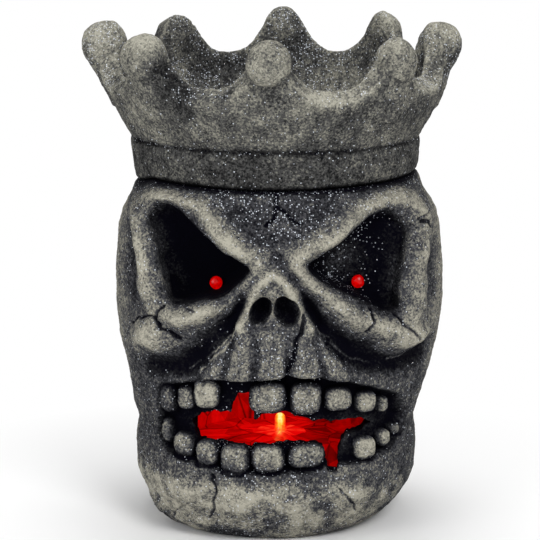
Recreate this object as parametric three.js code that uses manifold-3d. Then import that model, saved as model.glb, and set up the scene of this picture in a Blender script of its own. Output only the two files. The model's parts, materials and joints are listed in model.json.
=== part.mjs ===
// Skull-shaped candy bowl: a hollow cast skull that wears a cast crown, and the crown is the bowl.
// Millimetres, +Z up. The face looks along -Y and the origin is on the floor under the middle.

import * as THREE from "three";
import { mergeVertices } from "three/addons/utils/BufferGeometryUtils.js";
import Module from "manifold-3d";

const wasm = await Module();
wasm.setup();

// Driving dimensions
const skullHalfWidth = 77;
const skullHeight = 165.5;
const skullWall = 9;
const crownSeamRadius = 64.6;
const crownRimRise = 44.2;
const crownPointRise = 61.5;
const crownBallRise = 58.2;
const crownWall = 9;
const bowlFloorThickness = 8;
const batteryDiameter = 10.5;
const batteryLength = 44.5;
const ledRadius = 2.5;
const ledBodyLength = 7.6;

// Clearances shared by pieces that fit each other
const fitGap = 0.3;
const cutOverrun = 2;

// Round pieces are drawn with this many sides
const coarseSides = 10;
const roundSides = 16;
const wideSides = 40;

// Skull profile: height share, half-width share, front depth share, back depth share
const skullProfileShares = [
  [0, 0.62, 0.65, 0.62],
  [0.02, 0.725, 0.715, 0.72],
  [0.05, 0.77, 0.78, 0.78],
  [0.08, 0.81, 0.82, 0.82],
  [0.11, 0.843, 0.85, 0.85],
  [0.15, 0.868, 0.875, 0.88],
  [0.22, 0.867, 0.895, 0.92],
  [0.3, 0.85, 0.905, 0.95],
  [0.36, 0.886, 0.91, 0.97],
  [0.42, 0.915, 0.915, 0.99],
  [0.48, 0.948, 0.925, 1.01],
  [0.54, 0.982, 0.935, 1.02],
  [0.65, 1.003, 0.955, 1.04],
  [0.73, 1.001, 0.965, 1.04],
  [0.79, 0.993, 0.97, 1.03],
  [0.855, 0.978, 0.96, 1.0],
  [0.89, 0.958, 0.95, 0.975],
  [0.92, 0.927, 0.925, 0.945],
  [0.95, 0.889, 0.895, 0.905],
  [1, 0.862, 0.875, 0.875],
];
const skullRoundness = 2.25;
const skullColumns = 64;
const skullRows = 28;
const frontDensityShare = 0.5;
// The carving fades out where the surface turns this far from the front
const facingShare = 0.4;
const footRowShares = [0, 0.015, 0.035, 0.06];

// Bone ridges that ring the eye sockets, as shares of the skull's half-width and height
const leftRidgeShares = [
  [-0.06, 0.811], [-0.16, 0.839], [-0.26, 0.881], [-0.4, 0.95], [-0.51, 0.975], [-0.62, 0.983],
  [-0.73, 0.968], [-0.81, 0.934], [-0.82, 0.89], [-0.76, 0.79], [-0.69, 0.683], [-0.61, 0.657],
  [-0.53, 0.649], [-0.44, 0.661], [-0.24, 0.708], [-0.16, 0.745], [-0.11, 0.781],
];
const rightRidgeShares = [
  [0.11, 0.816], [0.2, 0.851], [0.31, 0.875], [0.48, 0.943], [0.58, 0.963], [0.7, 0.976],
  [0.81, 0.953], [0.86, 0.915], [0.85, 0.863], [0.82, 0.77], [0.81, 0.665], [0.75, 0.62],
  [0.67, 0.618], [0.56, 0.635], [0.45, 0.659], [0.28, 0.72], [0.2, 0.759], [0.14, 0.8],
];
const ridgeHeight = 6;
const ridgeSpread = 5.5;

// Socket outlines on the face, in the same shares
const leftSocketShares = [
  [-0.76, 0.94], [-0.71, 0.955], [-0.64, 0.962], [-0.56, 0.944], [-0.44, 0.895], [-0.3, 0.837],
  [-0.22, 0.821], [-0.14, 0.793], [-0.17, 0.767], [-0.29, 0.714], [-0.4, 0.701], [-0.52, 0.686],
  [-0.6, 0.693], [-0.66, 0.771], [-0.71, 0.858], [-0.77, 0.92],
];
const rightSocketShares = [
  [0.21, 0.801], [0.31, 0.836], [0.39, 0.859], [0.48, 0.895], [0.58, 0.929], [0.66, 0.944],
  [0.76, 0.924], [0.8, 0.897], [0.77, 0.831], [0.74, 0.761], [0.73, 0.707], [0.73, 0.669],
  [0.66, 0.662], [0.59, 0.679], [0.47, 0.712], [0.31, 0.748], [0.25, 0.771],
];
const leftSocketMiddleShares = [-0.44, 0.716];
const rightSocketMiddleShares = [0.5, 0.705];
const leftLedShares = [-0.343, 0.7245];
const rightLedShares = [0.496, 0.7295];
const socketFloorDepthShare = 0.585;
const socketWall = 5;
// Depth share of the skull's half-width, size share of the outline
const socketTaperShares = [[1.2, 1.08], [0.9, 1.02], [0.75, 1], [0.65, 0.95], [socketFloorDepthShare, 0.85]];
const socketStations = 22;

// Nose: a raised bone edge over two nostrils
const noseRidgeShares = [
  [-0.19, 0.639], [-0.17, 0.662], [-0.13, 0.712], [-0.06, 0.762], [0, 0.787],
  [0.07, 0.765], [0.14, 0.718], [0.19, 0.662], [0.22, 0.634],
];
const noseRidgeHeight = 5;
const noseRidgeSpread = 4.5;
const nostrils = [
  { atShares: [-0.072, 0.684], lean: 0.4 },
  { atShares: [0.082, 0.682], lean: -0.4 },
];
const nostrilHalfWidth = 5.2;
const nostrilHalfHeight = 6.4;
const nostrilDepth = 9;

// Lumps and hollows of the face: places in shares, then height and spread in millimetres
const cheekHeight = 8;
const cheekSpread = 9;
const cheekShares = [[-0.74, 0.592], [0.74, 0.605]];
const muzzleHeight = 4;
const muzzleSpread = 17;
const muzzleShares = [[-0.12, 0.56], [0.14, 0.55]];
const rootHeight = 3.5;
const rootSpread = 5;
const rootShares = [
  [[-0.3, 0.57], [-0.37, 0.5]],
  [[-0.19, 0.62], [-0.19, 0.5]],
  [[-0.02, 0.62], [-0.02, 0.5]],
  [[0.17, 0.61], [0.2, 0.5]],
  [[0.28, 0.6], [0.39, 0.49]],
];
const cheekHollowDepth = 7;
const cheekHollowSpread = 7;
const cheekHollowShares = [
  [[-0.13, 0.745], [-0.2, 0.678], [-0.29, 0.618], [-0.41, 0.562], [-0.54, 0.522], [-0.7, 0.51]],
  [[0.16, 0.746], [0.23, 0.67], [0.34, 0.607], [0.46, 0.563], [0.6, 0.526], [0.75, 0.516], [0.9, 0.525]],
];
const templeDepth = 3.5;
const templeSpread = 6;
const templeShares = [[[-0.89, 0.86], [-0.87, 0.7]], [[0.94, 0.82], [0.93, 0.69]]];
const chinHeight = 4;
const chinSpread = 10;
const chinShares = [[-0.52, 0.15], [-0.2, 0.13], [0.12, 0.13], [0.45, 0.15]];

// Mouth: a recess that holds the teeth, and the ragged gap between the two rows
const mouthRecessShares = [
  [-0.7, 0.32], [-0.69, 0.4], [-0.68, 0.441], [-0.52, 0.463], [-0.36, 0.48], [-0.11, 0.482],
  [0.09, 0.497], [0.26, 0.49], [0.47, 0.465], [0.58, 0.448], [0.75, 0.41], [0.79, 0.34],
  [0.71, 0.255], [0.57, 0.238], [0.31, 0.236], [0.16, 0.223], [-0.05, 0.217], [-0.32, 0.224],
  [-0.46, 0.24], [-0.6, 0.246], [-0.67, 0.26],
];
const mouthRecessDepth = 7;
const mouthRecessSlope = 3;
const mouthGapStartShare = 0.25;
const mouthGapShares = [
  [-0.48, 0.348], [-0.4, 0.374], [-0.25, 0.383], [-0.21, 0.435], [-0.12, 0.438], [-0.11, 0.363],
  [0, 0.372], [0.09, 0.375], [0.27, 0.358], [0.53, 0.35], [0.57, 0.333], [0.53, 0.317], [0.39, 0.3],
  [0.38, 0.218], [0.31, 0.221], [0.31, 0.262], [0.27, 0.288], [0.09, 0.289], [-0.15, 0.279],
  [-0.31, 0.288], [-0.44, 0.284],
];
const toothWidth = 17.4;
const toothHeight = 15.4;
const toothDepth = 10;
const toothProud = 0.5;
// Place of each tooth's middle, then its width and height as shares of the largest tooth's
const teeth = [
  { atShares: [-0.63, 0.406], sizeShares: [0.52, 0.9] },
  { atShares: [-0.52, 0.417], sizeShares: [0.5, 0.71] },
  { atShares: [-0.4, 0.437], sizeShares: [0.71, 0.94] },
  { atShares: [-0.033, 0.432], sizeShares: [1.0, 0.99] },
  { atShares: [0.203, 0.43], sizeShares: [0.84, 1.0] },
  { atShares: [0.393, 0.423], sizeShares: [0.76, 0.73] },
  { atShares: [0.554, 0.406], sizeShares: [0.6, 0.68] },
  { atShares: [0.645, 0.391], sizeShares: [0.29, 0.54] },
  { atShares: [-0.65, 0.308], sizeShares: [0.29, 0.81] },
  { atShares: [-0.545, 0.277], sizeShares: [0.66, 0.77] },
  { atShares: [-0.402, 0.265], sizeShares: [0.62, 0.81] },
  { atShares: [-0.233, 0.254], sizeShares: [0.79, 0.94] },
  { atShares: [-0.03, 0.258], sizeShares: [0.86, 0.89] },
  { atShares: [0.21, 0.265], sizeShares: [0.98, 0.77] },
  { atShares: [0.556, 0.27], sizeShares: [0.66, 0.71] },
  { atShares: [0.677, 0.286], sizeShares: [0.36, 0.52] },
  { atShares: [0.748, 0.3], sizeShares: [0.29, 0.39] },
];
const toothSquareness = 0.7;

// Openings of the skull casting
const plateRadius = 42;
const plateThickness = 3.4;
const plateRecess = 3.7;
const baseOpeningRadius = 34;
const baseLedgeThickness = 9;
const spigotRadius = 54;
const spigotLength = 13.5;

// Crown profile: share of the rise from seam to rim, outside radius as a share of the seam's
const crownOuterShares = [
  [0, 1],
  [0.054, 1.022],
  [0.18, 1.043],
  [0.32, 1.056],
  [0.375, 1.048],
  [0.43, 1.068],
  [0.59, 1.133],
  [0.747, 1.189],
];
const crownFlareRun = 6.4;
const crownFlareRise = 14;
const crownTilt = 4.2;
const crownPoints = 8;
const crownPointSpread = 13;
const crownBallRadius = 10.4;
const crownBallInset = 7.3;
const crownBallTilt = 1.3;
const crownNeckRadius = 8.4;
const crownNeckFootRadius = 6;
const crownNeckLength = 17;
const crownColumns = 64;
const crownBallSteps = 5;
const crownLipShares = [0.35, 0.7, 1];
const bowlRadius = 58;
const bowlCurveRise = 20;
// Share of the curve's rise, share of the bowl's radius
const bowlShares = [[1, 1], [0.75, 0.959], [0.5, 0.903], [0.25, 0.821], [0.075, 0.724], [0, 0.603]];

// Red liner behind the teeth
const linerMiddle = [2.3, -30];
const linerHalfWidth = 43;
const linerHalfDepth = 38;
const linerFloorDrop = 1.4;
const linerHeight = 39.2;
const linerApronDepth = 12;
const linerApronReach = 8;
const linerThickness = 1.2;
const linerFrontReach = 20;

// Light emitting diodes and their holders
const ledFlangeRadius = 2.9;
const ledFlangeThickness = 1;
const ledLegLength = 5;
const ledLegWidth = 0.5;
const ledLegPitch = 2.54;
const mouthLedPlace = [2.3, -20];
const mouthLedSeatHeight = 43.4;
const pillarRadius = 3.4;
const pillarBoreRadius = 2;
const pillarFootRadius = 6;
const pillarFootThickness = 2;
const pillarSlotHeight = 6;
const eyeHolderRadius = 5.5;
const eyeHolderLength = 7;
const eyeHolderWindowRadius = 1.6;

// Battery box, its door and what they hold
const batteryCount = 3;
const batteryPitch = 11.5;
const batteryNubRadius = 1.9;
const batteryNubLength = 0.8;
const springLength = 3.6;
const springTurns = 3;
const springTurnSteps = 6;
const springSides = 4;
const springWire = 0.6;
const springBaseRadius = 3.6;
const springTipRadius = 2;
const contactThickness = 0.4;
const contactSize = 7.5;
const boxWall = 1.2;
const doorThickness = 2.4;
const doorPinRadius = 0.8;
const doorPinLength = 1.4;
const doorTongueWidth = 9;
const doorTongueLength = 7;
const doorSlitWidth = 0.9;
const doorGripHeight = 0.6;
const doorGripCount = 3;
const tagWidth = 2.4;
const tagProud = 2.2;

// Screws and the inserts they bite into
const baseScrewCount = 4;
const baseScrewCircle = 38;
const screwShankRadius = 1.5;
const screwHeadRadius = 2.9;
const screwHeadHeight = 2;
const screwSeatDepth = 1.4;
const screwLength = 8;
const anchorRadius = 2.6;
const anchorLength = 7;
const crossSlotWidth = 0.7;
const crossSlotShare = 0.7;

// Switch beside the battery box
const switchWidth = 6.4;
const switchLength = 13;
const switchHeight = 5.6;
const switchWall = 0.8;
const switchTravel = 4;
const knobFootLength = 5;
const knobFootHeight = 2.6;
const knobStem = 2.6;
const knobProud = 1.4;
const switchPlace = [26.5, 0];
const terminalSize = 1.2;
const terminalThickness = 0.5;
const terminalHeight = 2.6;
const terminalPitch = 6;

// Circuit board that feeds the three lights
const boardSize = [24, 20];
const boardThickness = 1.2;
const boardMiddle = [0, 12];
const resistorRadius = 1.1;
const resistorLength = 6;
const resistorPitch = 4;

// Wires held inside
const wireRadius = 0.65;
const twinRadius = 1;
const wireSides = 8;
const wireStepDiameters = 3;

// Heights that follow from the sizes above
const plateTop = plateRecess + plateThickness;
const ledgeHeight = plateTop + fitGap;
const cavityFloor = ledgeHeight + baseLedgeThickness;
const cavityCeiling = skullHeight - skullWall;
const crownBase = skullHeight + fitGap;
const spigotBottom = crownBase - spigotLength;
const bowlFloorHeight = spigotBottom + bowlFloorThickness;
const crownRimHeight = crownBase + crownRimRise;
const boxLift = plateTop + fitGap;
const linerFloorHeight = mouthLedSeatHeight - linerFloorDrop;
const cellHeight = boxLift + fitGap + batteryDiameter / 2;
const boxInnerTop = cellHeight + batteryDiameter / 2 + fitGap;
const boxTop = boxInnerTop + boxWall;
const boxInnerWidth = batteryPitch * (batteryCount - 1) + batteryDiameter + 4 * fitGap;
const boxInnerLength = batteryLength + springLength + 2 * contactThickness + 6 * fitGap;
const boxOuterWidth = boxInnerWidth + 2 * boxWall;
const boxOuterLength = boxInnerLength + 2 * boxWall;

// Plain helpers

function named(name, geometry, material) {
  const mesh = new THREE.Mesh(geometry, material);
  mesh.name = name;
  return mesh;
}

function facingOut(geometry) {
  const place = geometry.attributes.position;
  const index = geometry.index;
  const corner = [new THREE.Vector3(), new THREE.Vector3(), new THREE.Vector3()];
  let volume = 0;
  for (let i = 0; i < index.count; i += 3) {
    corner.forEach((point, k) => point.fromBufferAttribute(place, index.getX(i + k)));
    volume += corner[0].dot(corner[1].cross(corner[2]));
  }
  if (volume > 0) {
    return geometry;
  }
  for (let i = 0; i < index.count; i += 3) {
    const swapped = index.getX(i + 1);
    index.setX(i + 1, index.getX(i + 2));
    index.setX(i + 2, swapped);
  }
  return geometry;
}

function plain(geometry) {
  const copy = geometry.clone();
  copy.deleteAttribute("normal");
  copy.deleteAttribute("uv");
  return facingOut(mergeVertices(copy));
}

function solid(geometry) {
  const merged = plain(geometry);
  return new wasm.Manifold(new wasm.Mesh({
    numProp: 3,
    vertProperties: Float32Array.from(merged.attributes.position.array),
    triVerts: Uint32Array.from(merged.index.array),
  }));
}

function shape(manifold) {
  const mesh = manifold.getMesh();
  const geometry = new THREE.BufferGeometry();
  geometry.setAttribute("position", new THREE.BufferAttribute(mesh.vertProperties, 3));
  geometry.setIndex(new THREE.BufferAttribute(mesh.triVerts, 1));
  geometry.computeVertexNormals();
  return geometry;
}

// A closed skin over rings of equally many points, with each end drawn in to its middle
function skin(rings) {
  const points = rings.flat();
  const count = rings[0].length;
  const faces = [];
  for (let row = 0; row + 1 < rings.length; row += 1) {
    for (let i = 0; i < count; i += 1) {
      const here = row * count + i;
      const next = row * count + (i + 1) % count;
      const [above, aboveNext] = [here + count, next + count];
      const rising = points[here].distanceTo(points[aboveNext]) < points[next].distanceTo(points[above]);
      if (rising) {
        faces.push(here, next, aboveNext, here, aboveNext, above);
      } else {
        faces.push(here, next, above, next, aboveNext, above);
      }
    }
  }
  const ends = [[0, true], [rings.length - 1, false]];
  for (const [row, first] of ends) {
    const middle = new THREE.Vector3();
    rings[row].forEach((point) => middle.add(point));
    middle.divideScalar(count);
    const tip = points.push(middle) - 1;
    for (let i = 0; i < count; i += 1) {
      const here = row * count + i;
      const next = row * count + (i + 1) % count;
      faces.push(...(first ? [tip, next, here] : [tip, here, next]));
    }
  }
  const geometry = new THREE.BufferGeometry().setFromPoints(points);
  geometry.setIndex(faces);
  return facingOut(geometry);
}

function drum(radius, bottom, top, sides = roundSides) {
  const geometry = new THREE.CylinderGeometry(radius, radius, top - bottom, sides);
  geometry.rotateX(Math.PI / 2);
  geometry.translate(0, 0, (top + bottom) / 2);
  return geometry;
}

function block(width, depth, bottom, top) {
  const geometry = new THREE.BoxGeometry(width, depth, top - bottom);
  geometry.translate(0, 0, (top + bottom) / 2);
  return geometry;
}

function turned(profile, sides = roundSides) {
  const points = profile.map(([radius, height]) => new THREE.Vector2(radius, height));
  const geometry = new THREE.LatheGeometry(points, sides);
  geometry.rotateX(Math.PI / 2);
  return geometry;
}

function between(table, at, column) {
  const last = table.length - 1;
  let row = 1;
  while (row < last && table[row][0] < at) {
    row += 1;
  }
  const [low, high] = [table[row - 1], table[row]];
  const part = THREE.MathUtils.clamp((at - low[0]) / (high[0] - low[0]), 0, 1);
  return THREE.MathUtils.lerp(low[column], high[column], part);
}

function onFace([xShare, zShare]) {
  return [xShare * skullHalfWidth, zShare * skullHeight];
}

// Skull surface

function distanceToLine(x, z, line, closed) {
  let nearest = Infinity;
  const last = closed ? line.length : line.length - 1;
  for (let i = 0; i < last; i += 1) {
    const [ax, az] = line[i];
    const [bx, bz] = line[(i + 1) % line.length];
    const run = (bx - ax) ** 2 + (bz - az) ** 2;
    const along = run > 0 ? ((x - ax) * (bx - ax) + (z - az) * (bz - az)) / run : 0;
    const part = THREE.MathUtils.clamp(along, 0, 1);
    const away = Math.hypot(x - ax - part * (bx - ax), z - az - part * (bz - az));
    nearest = Math.min(nearest, away);
  }
  return nearest;
}

function inside(x, z, outline) {
  let within = false;
  for (let i = 0, k = outline.length - 1; i < outline.length; k = i, i += 1) {
    const [ax, az] = outline[i];
    const [bx, bz] = outline[k];
    if ((az > z) !== (bz > z) && x < ((bx - ax) * (z - az)) / (bz - az) + ax) {
      within = !within;
    }
  }
  return within;
}

function swell(distance, spread) {
  return Math.exp(-((distance / spread) ** 2));
}

const ridges = [leftRidgeShares, rightRidgeShares].map((line) => line.map(onFace));
const noseRidge = noseRidgeShares.map(onFace);
const hollows = cheekHollowShares.map((line) => line.map(onFace));
const temples = templeShares.map((line) => line.map(onFace));
const roots = rootShares.map((line) => line.map(onFace));
const mouthRecess = mouthRecessShares.map(onFace);
const lumps = [
  { shares: cheekShares, height: cheekHeight, spread: cheekSpread },
  { shares: chinShares, height: chinHeight, spread: chinSpread },
];

// Height of the carved relief over the smooth head at a place on the face
function relief(x, z) {
  const bones = [noseRidgeHeight * swell(distanceToLine(x, z, noseRidge, false), noseRidgeSpread)];
  for (const ridge of ridges) {
    bones.push(ridgeHeight * swell(distanceToLine(x, z, ridge, true), ridgeSpread));
  }
  for (const lump of lumps) {
    for (const place of lump.shares) {
      const [lumpX, lumpZ] = onFace(place);
      bones.push(lump.height * swell(Math.hypot(x - lumpX, z - lumpZ), lump.spread));
    }
  }
  // Bones that meet run into each other and don't pile up
  let height = Math.cbrt(bones.reduce((sum, bone) => sum + bone ** 3, 0));
  for (const place of muzzleShares) {
    const [lumpX, lumpZ] = onFace(place);
    height += muzzleHeight * swell(Math.hypot(x - lumpX, z - lumpZ), muzzleSpread);
  }
  for (const hollow of hollows) {
    height -= cheekHollowDepth * swell(distanceToLine(x, z, hollow, false), cheekHollowSpread);
  }
  for (const temple of temples) {
    height -= templeDepth * swell(distanceToLine(x, z, temple, false), templeSpread);
  }
  for (const root of roots) {
    height += rootHeight * swell(distanceToLine(x, z, root, false), rootSpread);
  }
  const edge = distanceToLine(x, z, mouthRecess, true);
  const signed = inside(x, z, mouthRecess) ? edge : -edge;
  const sunk = THREE.MathUtils.smoothstep(signed, -mouthRecessSlope / 2, mouthRecessSlope / 2);
  return height * (1 - sunk) - mouthRecessDepth * sunk;
}

function skullRadius(angle, z) {
  const share = z / skullHeight;
  const halfWidth = between(skullProfileShares, share, 1) * skullHalfWidth;
  const depthColumn = Math.cos(angle) > 0 ? 2 : 3;
  const depth = between(skullProfileShares, share, depthColumn) * skullHalfWidth;
  const across = (Math.abs(Math.sin(angle)) / halfWidth) ** skullRoundness;
  const along = (Math.abs(Math.cos(angle)) / depth) ** skullRoundness;
  return (across + along) ** (-1 / skullRoundness);
}

function carvedRadius(angle, z) {
  const radius = skullRadius(angle, z);
  const facing = THREE.MathUtils.smoothstep(Math.cos(angle), 0, facingShare);
  return radius + facing * relief(radius * Math.sin(angle), z);
}

// Angles round the skull, closest together on the face
function columnAngles(count) {
  return Array.from({ length: count }, (_, i) => {
    const even = (2 * Math.PI * i) / count;
    return even - frontDensityShare * Math.sin(even);
  });
}

function headRing(z, count, radiusAt) {
  return columnAngles(count).map((angle) => {
    const radius = radiusAt(angle, z);
    return new THREE.Vector3(radius * Math.sin(angle), -radius * Math.cos(angle), z);
  });
}

function skullOutside() {
  const heights = footRowShares.map((share) => share * skullHeight);
  const start = heights[heights.length - 1];
  for (let row = 1; row <= skullRows; row += 1) {
    heights.push(start + ((skullHeight - start) * row) / skullRows);
  }
  return skin(heights.map((z) => headRing(z, skullColumns, carvedRadius)));
}

const cavityColumns = 30;
const cavityRows = 10;

// The hollow inside the casting, drawn in by an extra gap for pieces that are cut to fit it
function skullCavity(extra) {
  const radiusAt = (angle, z) => {
    const smooth = skullRadius(angle, z);
    return Math.min(smooth, carvedRadius(angle, z)) - skullWall - extra;
  };
  const low = cavityFloor + extra;
  const high = cavityCeiling - extra;
  const heights = Array.from({ length: cavityRows + 1 }, (_, i) => low + ((high - low) * i) / cavityRows);
  return solid(skin(heights.map((z) => headRing(z, cavityColumns, radiusAt))));
}

const sockets = [
  {
    side: "left",
    outlineShares: leftSocketShares,
    middleShares: leftSocketMiddleShares,
    ledShares: leftLedShares,
  },
  {
    side: "right",
    outlineShares: rightSocketShares,
    middleShares: rightSocketMiddleShares,
    ledShares: rightLedShares,
  },
];
const socketFloorY = -socketFloorDepthShare * skullHalfWidth;
const socketBackY = socketFloorY + socketWall;

function socketCut(socket, margin) {
  const [middleX, middleZ] = onFace(socket.middleShares);
  const corners = socket.outlineShares.map(onFace).map(([x, z]) => new THREE.Vector3(x, 0, z));
  const outline = new THREE.CatmullRomCurve3(corners, true).getSpacedPoints(socketStations).slice(0, -1);
  const rings = socketTaperShares.map(([depthShare, sizeShare]) => outline.map((point) => {
    const x = (point.x - middleX) * sizeShare;
    const z = (point.z - middleZ) * sizeShare;
    const reach = Math.hypot(x, z);
    const grown = reach > 0 ? (reach + margin) / reach : 1;
    return new THREE.Vector3(middleX + x * grown, margin - depthShare * skullHalfWidth, middleZ + z * grown);
  }));
  return solid(skin(rings));
}

function mouthGap() {
  const corners = mouthGapShares.map(onFace).map(([x, z]) => new THREE.Vector2(x, z));
  const depth = skullHalfWidth;
  const geometry = new THREE.ExtrudeGeometry(new THREE.Shape(corners), { depth, bevelEnabled: false });
  geometry.rotateX(Math.PI / 2);
  geometry.translate(0, -mouthGapStartShare * skullHalfWidth, 0);
  return solid(geometry);
}

function nostril(one) {
  const [x, z] = onFace(one.atShares);
  const geometry = new THREE.SphereGeometry(1, coarseSides, coarseSides / 2);
  geometry.scale(nostrilHalfWidth, nostrilDepth, nostrilHalfHeight);
  geometry.rotateY(one.lean);
  geometry.translate(x, -carvedRadius(Math.asin(x / skullRadius(0, z)), z), z);
  return solid(geometry);
}

function tooth(one) {
  const [x, z] = onFace(one.atShares);
  const angle = Math.asin(x / skullRadius(0, z));
  const radius = skullRadius(angle, z) + toothProud - toothDepth / 2;
  const geometry = new THREE.SphereGeometry(1, coarseSides, coarseSides / 2);
  const place = geometry.attributes.position;
  const rounded = (value) => Math.sign(value) * Math.abs(value) ** toothSquareness;
  for (let i = 0; i < place.count; i += 1) {
    place.setXYZ(i, rounded(place.getX(i)), rounded(place.getY(i)), rounded(place.getZ(i)));
  }
  const [widthShare, heightShare] = one.sizeShares;
  geometry.scale((toothWidth * widthShare) / 2, toothDepth / 2, (toothHeight * heightShare) / 2);
  geometry.rotateZ(angle);
  geometry.translate(radius * Math.sin(angle), -radius * Math.cos(angle), z);
  return solid(geometry);
}

function round(count, radius, turn, make) {
  return Array.from({ length: count }, (_, i) => {
    const angle = turn + (2 * Math.PI * i) / count;
    return make(radius * Math.cos(angle), radius * Math.sin(angle), i);
  });
}

function at(geometry, x, y, z) {
  return geometry.translate(x, y, z);
}

function ledHole(socket) {
  const [x, z] = onFace(socket.ledShares);
  const hole = drum(ledRadius + fitGap, 0, socketWall + 2 * cutOverrun);
  hole.rotateX(-Math.PI / 2);
  return solid(at(hole, x, socketFloorY - cutOverrun, z));
}

function skullShell() {
  let hollow = skullCavity(0);
  for (const socket of sockets) {
    hollow = hollow.subtract(socketCut(socket, socketWall));
  }
  let body = solid(skullOutside()).subtract(hollow);
  for (const socket of sockets) {
    body = body.subtract(socketCut(socket, 0)).subtract(ledHole(socket));
  }
  for (const one of nostrils) {
    body = body.subtract(nostril(one));
  }
  body = body.subtract(mouthGap());
  for (const one of teeth) {
    body = body.add(tooth(one));
  }
  const plateSeat = drum(plateRadius + fitGap, -cutOverrun, ledgeHeight, wideSides);
  const baseOpening = drum(baseOpeningRadius, 0, cavityFloor + cutOverrun, wideSides);
  const openingLow = Math.min(cavityCeiling, spigotBottom) - cutOverrun;
  const crownOpening = drum(spigotRadius + fitGap, openingLow, skullHeight + cutOverrun, wideSides);
  body = body.subtract(solid(plateSeat)).subtract(solid(baseOpening)).subtract(solid(crownOpening));
  const holeTop = ledgeHeight + anchorLength + fitGap;
  for (const [x, y] of screwPlaces) {
    const hole = drum(anchorRadius + fitGap, ledgeHeight - cutOverrun, holeTop, coarseSides);
    body = body.subtract(solid(at(hole, x, y, 0)));
  }
  return shape(body);
}

const screwPlaces = round(baseScrewCount, baseScrewCircle, 0, (x, y) => [x, y]);

// Crown

const [flareStartShare, flareRadiusShare] = crownOuterShares[crownOuterShares.length - 1];

function crownRadius(z) {
  const flared = z - crownBase - flareStartShare * crownRimRise;
  if (flared > 0) {
    return flareRadiusShare * crownSeamRadius + (flared * crownFlareRun) / crownFlareRise;
  }
  return between(crownOuterShares, (z - crownBase) / crownRimRise, 1) * crownSeamRadius;
}

const crownBallHeight = crownBase + crownBallRise;
const crownBallSpread = crownRadius(crownBallHeight) - crownBallInset;

function rimHeight(angle) {
  const step = (2 * Math.PI) / crownPoints;
  const offset = Math.abs(angle - Math.round(angle / step) * step) * crownBallSpread;
  const peak = swell(offset, crownPointSpread);
  const lean = -crownTilt * Math.cos(angle);
  return crownRimHeight + lean + (crownPointRise - crownRimRise) * peak;
}

function crownSection(angle) {
  const rim = rimHeight(angle);
  const points = [];
  points.push([spigotRadius, spigotBottom]);
  points.push([spigotRadius, crownBase]);
  for (const [riseShare, radiusShare] of crownOuterShares) {
    points.push([radiusShare * crownSeamRadius, crownBase + riseShare * crownRimRise]);
  }
  const lipStart = points[points.length - 1][1];
  for (const share of crownLipShares) {
    const z = lipStart + (rim - crownWall / 4 - lipStart) * share;
    points.push([crownRadius(z), z]);
  }
  points.push([crownRadius(rim) - crownWall / 4, rim]);
  points.push([crownRadius(rim) - (3 * crownWall) / 4, rim]);
  for (const share of [...crownLipShares].reverse()) {
    const z = lipStart + (rim - crownWall / 4 - lipStart) * share;
    points.push([crownRadius(z) - crownWall, z]);
  }
  for (const [riseShare, radiusShare] of bowlShares) {
    points.push([radiusShare * bowlRadius, bowlFloorHeight + riseShare * bowlCurveRise]);
  }
  return points;
}

function crownBowl() {
  const angles = Array.from({ length: crownColumns }, (_, i) => (2 * Math.PI * i) / crownColumns);
  const sections = angles.map(crownSection);
  const rings = sections[0].map((_, row) => angles.map((angle, i) => {
    const [radius, z] = sections[i][row];
    return new THREE.Vector3(radius * Math.sin(angle), -radius * Math.cos(angle), z);
  }));
  let body = solid(skin(rings));
  round(crownPoints, crownBallSpread, -Math.PI / 2, (x, y) => {
    const knob = crownKnob();
    knob.rotateZ(Math.atan2(y, x));
    const z = crownBallHeight + (crownBallTilt * y) / crownBallSpread;
    body = body.add(solid(at(knob, x, y, z)));
  });
  return shape(body);
}

// A ball on a short tapered neck, leaning outwards with the flare of the crown
function crownKnob() {
  const profile = [[0, -crownNeckLength], [crownNeckFootRadius, -crownNeckLength]];
  const start = -Math.acos(crownNeckRadius / crownBallRadius);
  for (let i = 0; i < crownBallSteps; i += 1) {
    const turn = start + ((Math.PI / 2 - start) * i) / crownBallSteps;
    profile.push([crownBallRadius * Math.cos(turn), crownBallRadius * Math.sin(turn)]);
  }
  profile.push([0, crownBallRadius]);
  const geometry = turned(profile, coarseSides);
  geometry.rotateY(Math.atan2(crownFlareRun, crownFlareRise));
  return geometry;
}

// Liner, lights and holders

function linerDrum(inset, bottom, top) {
  const geometry = drum(1, bottom, top, wideSides);
  geometry.scale(linerHalfWidth - inset, linerHalfDepth - inset, 1);
  return solid(at(geometry, linerMiddle[0], linerMiddle[1], 0));
}

function mouthLiner() {
  const top = linerFloorHeight + linerHeight;
  const floorTop = linerFloorHeight + linerThickness;
  const room = linerDrum(linerThickness, floorTop, top + cutOverrun);
  const open = block(2 * linerHalfWidth, linerHalfDepth, floorTop, top + cutOverrun);
  at(open, linerMiddle[0], linerMiddle[1] - linerFrontReach - linerHalfDepth / 2, 0);
  const bag = linerDrum(0, linerFloorHeight, top).subtract(room).subtract(solid(open));
  const apron = block(2 * linerHalfWidth, linerHalfDepth, linerFloorHeight - linerApronDepth, floorTop);
  at(apron, linerMiddle[0], linerMiddle[1] - linerApronReach - linerHalfDepth / 2, 0);
  const hanging = solid(apron).subtract(skullCavity(fitGap + linerThickness));
  const body = bag.add(hanging).intersect(skullCavity(fitGap));
  const hole = drum(pillarRadius + fitGap, linerFloorHeight - cutOverrun, floorTop + cutOverrun);
  return shape(body.subtract(solid(at(hole, mouthLedPlace[0], mouthLedPlace[1], 0))));
}

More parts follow.
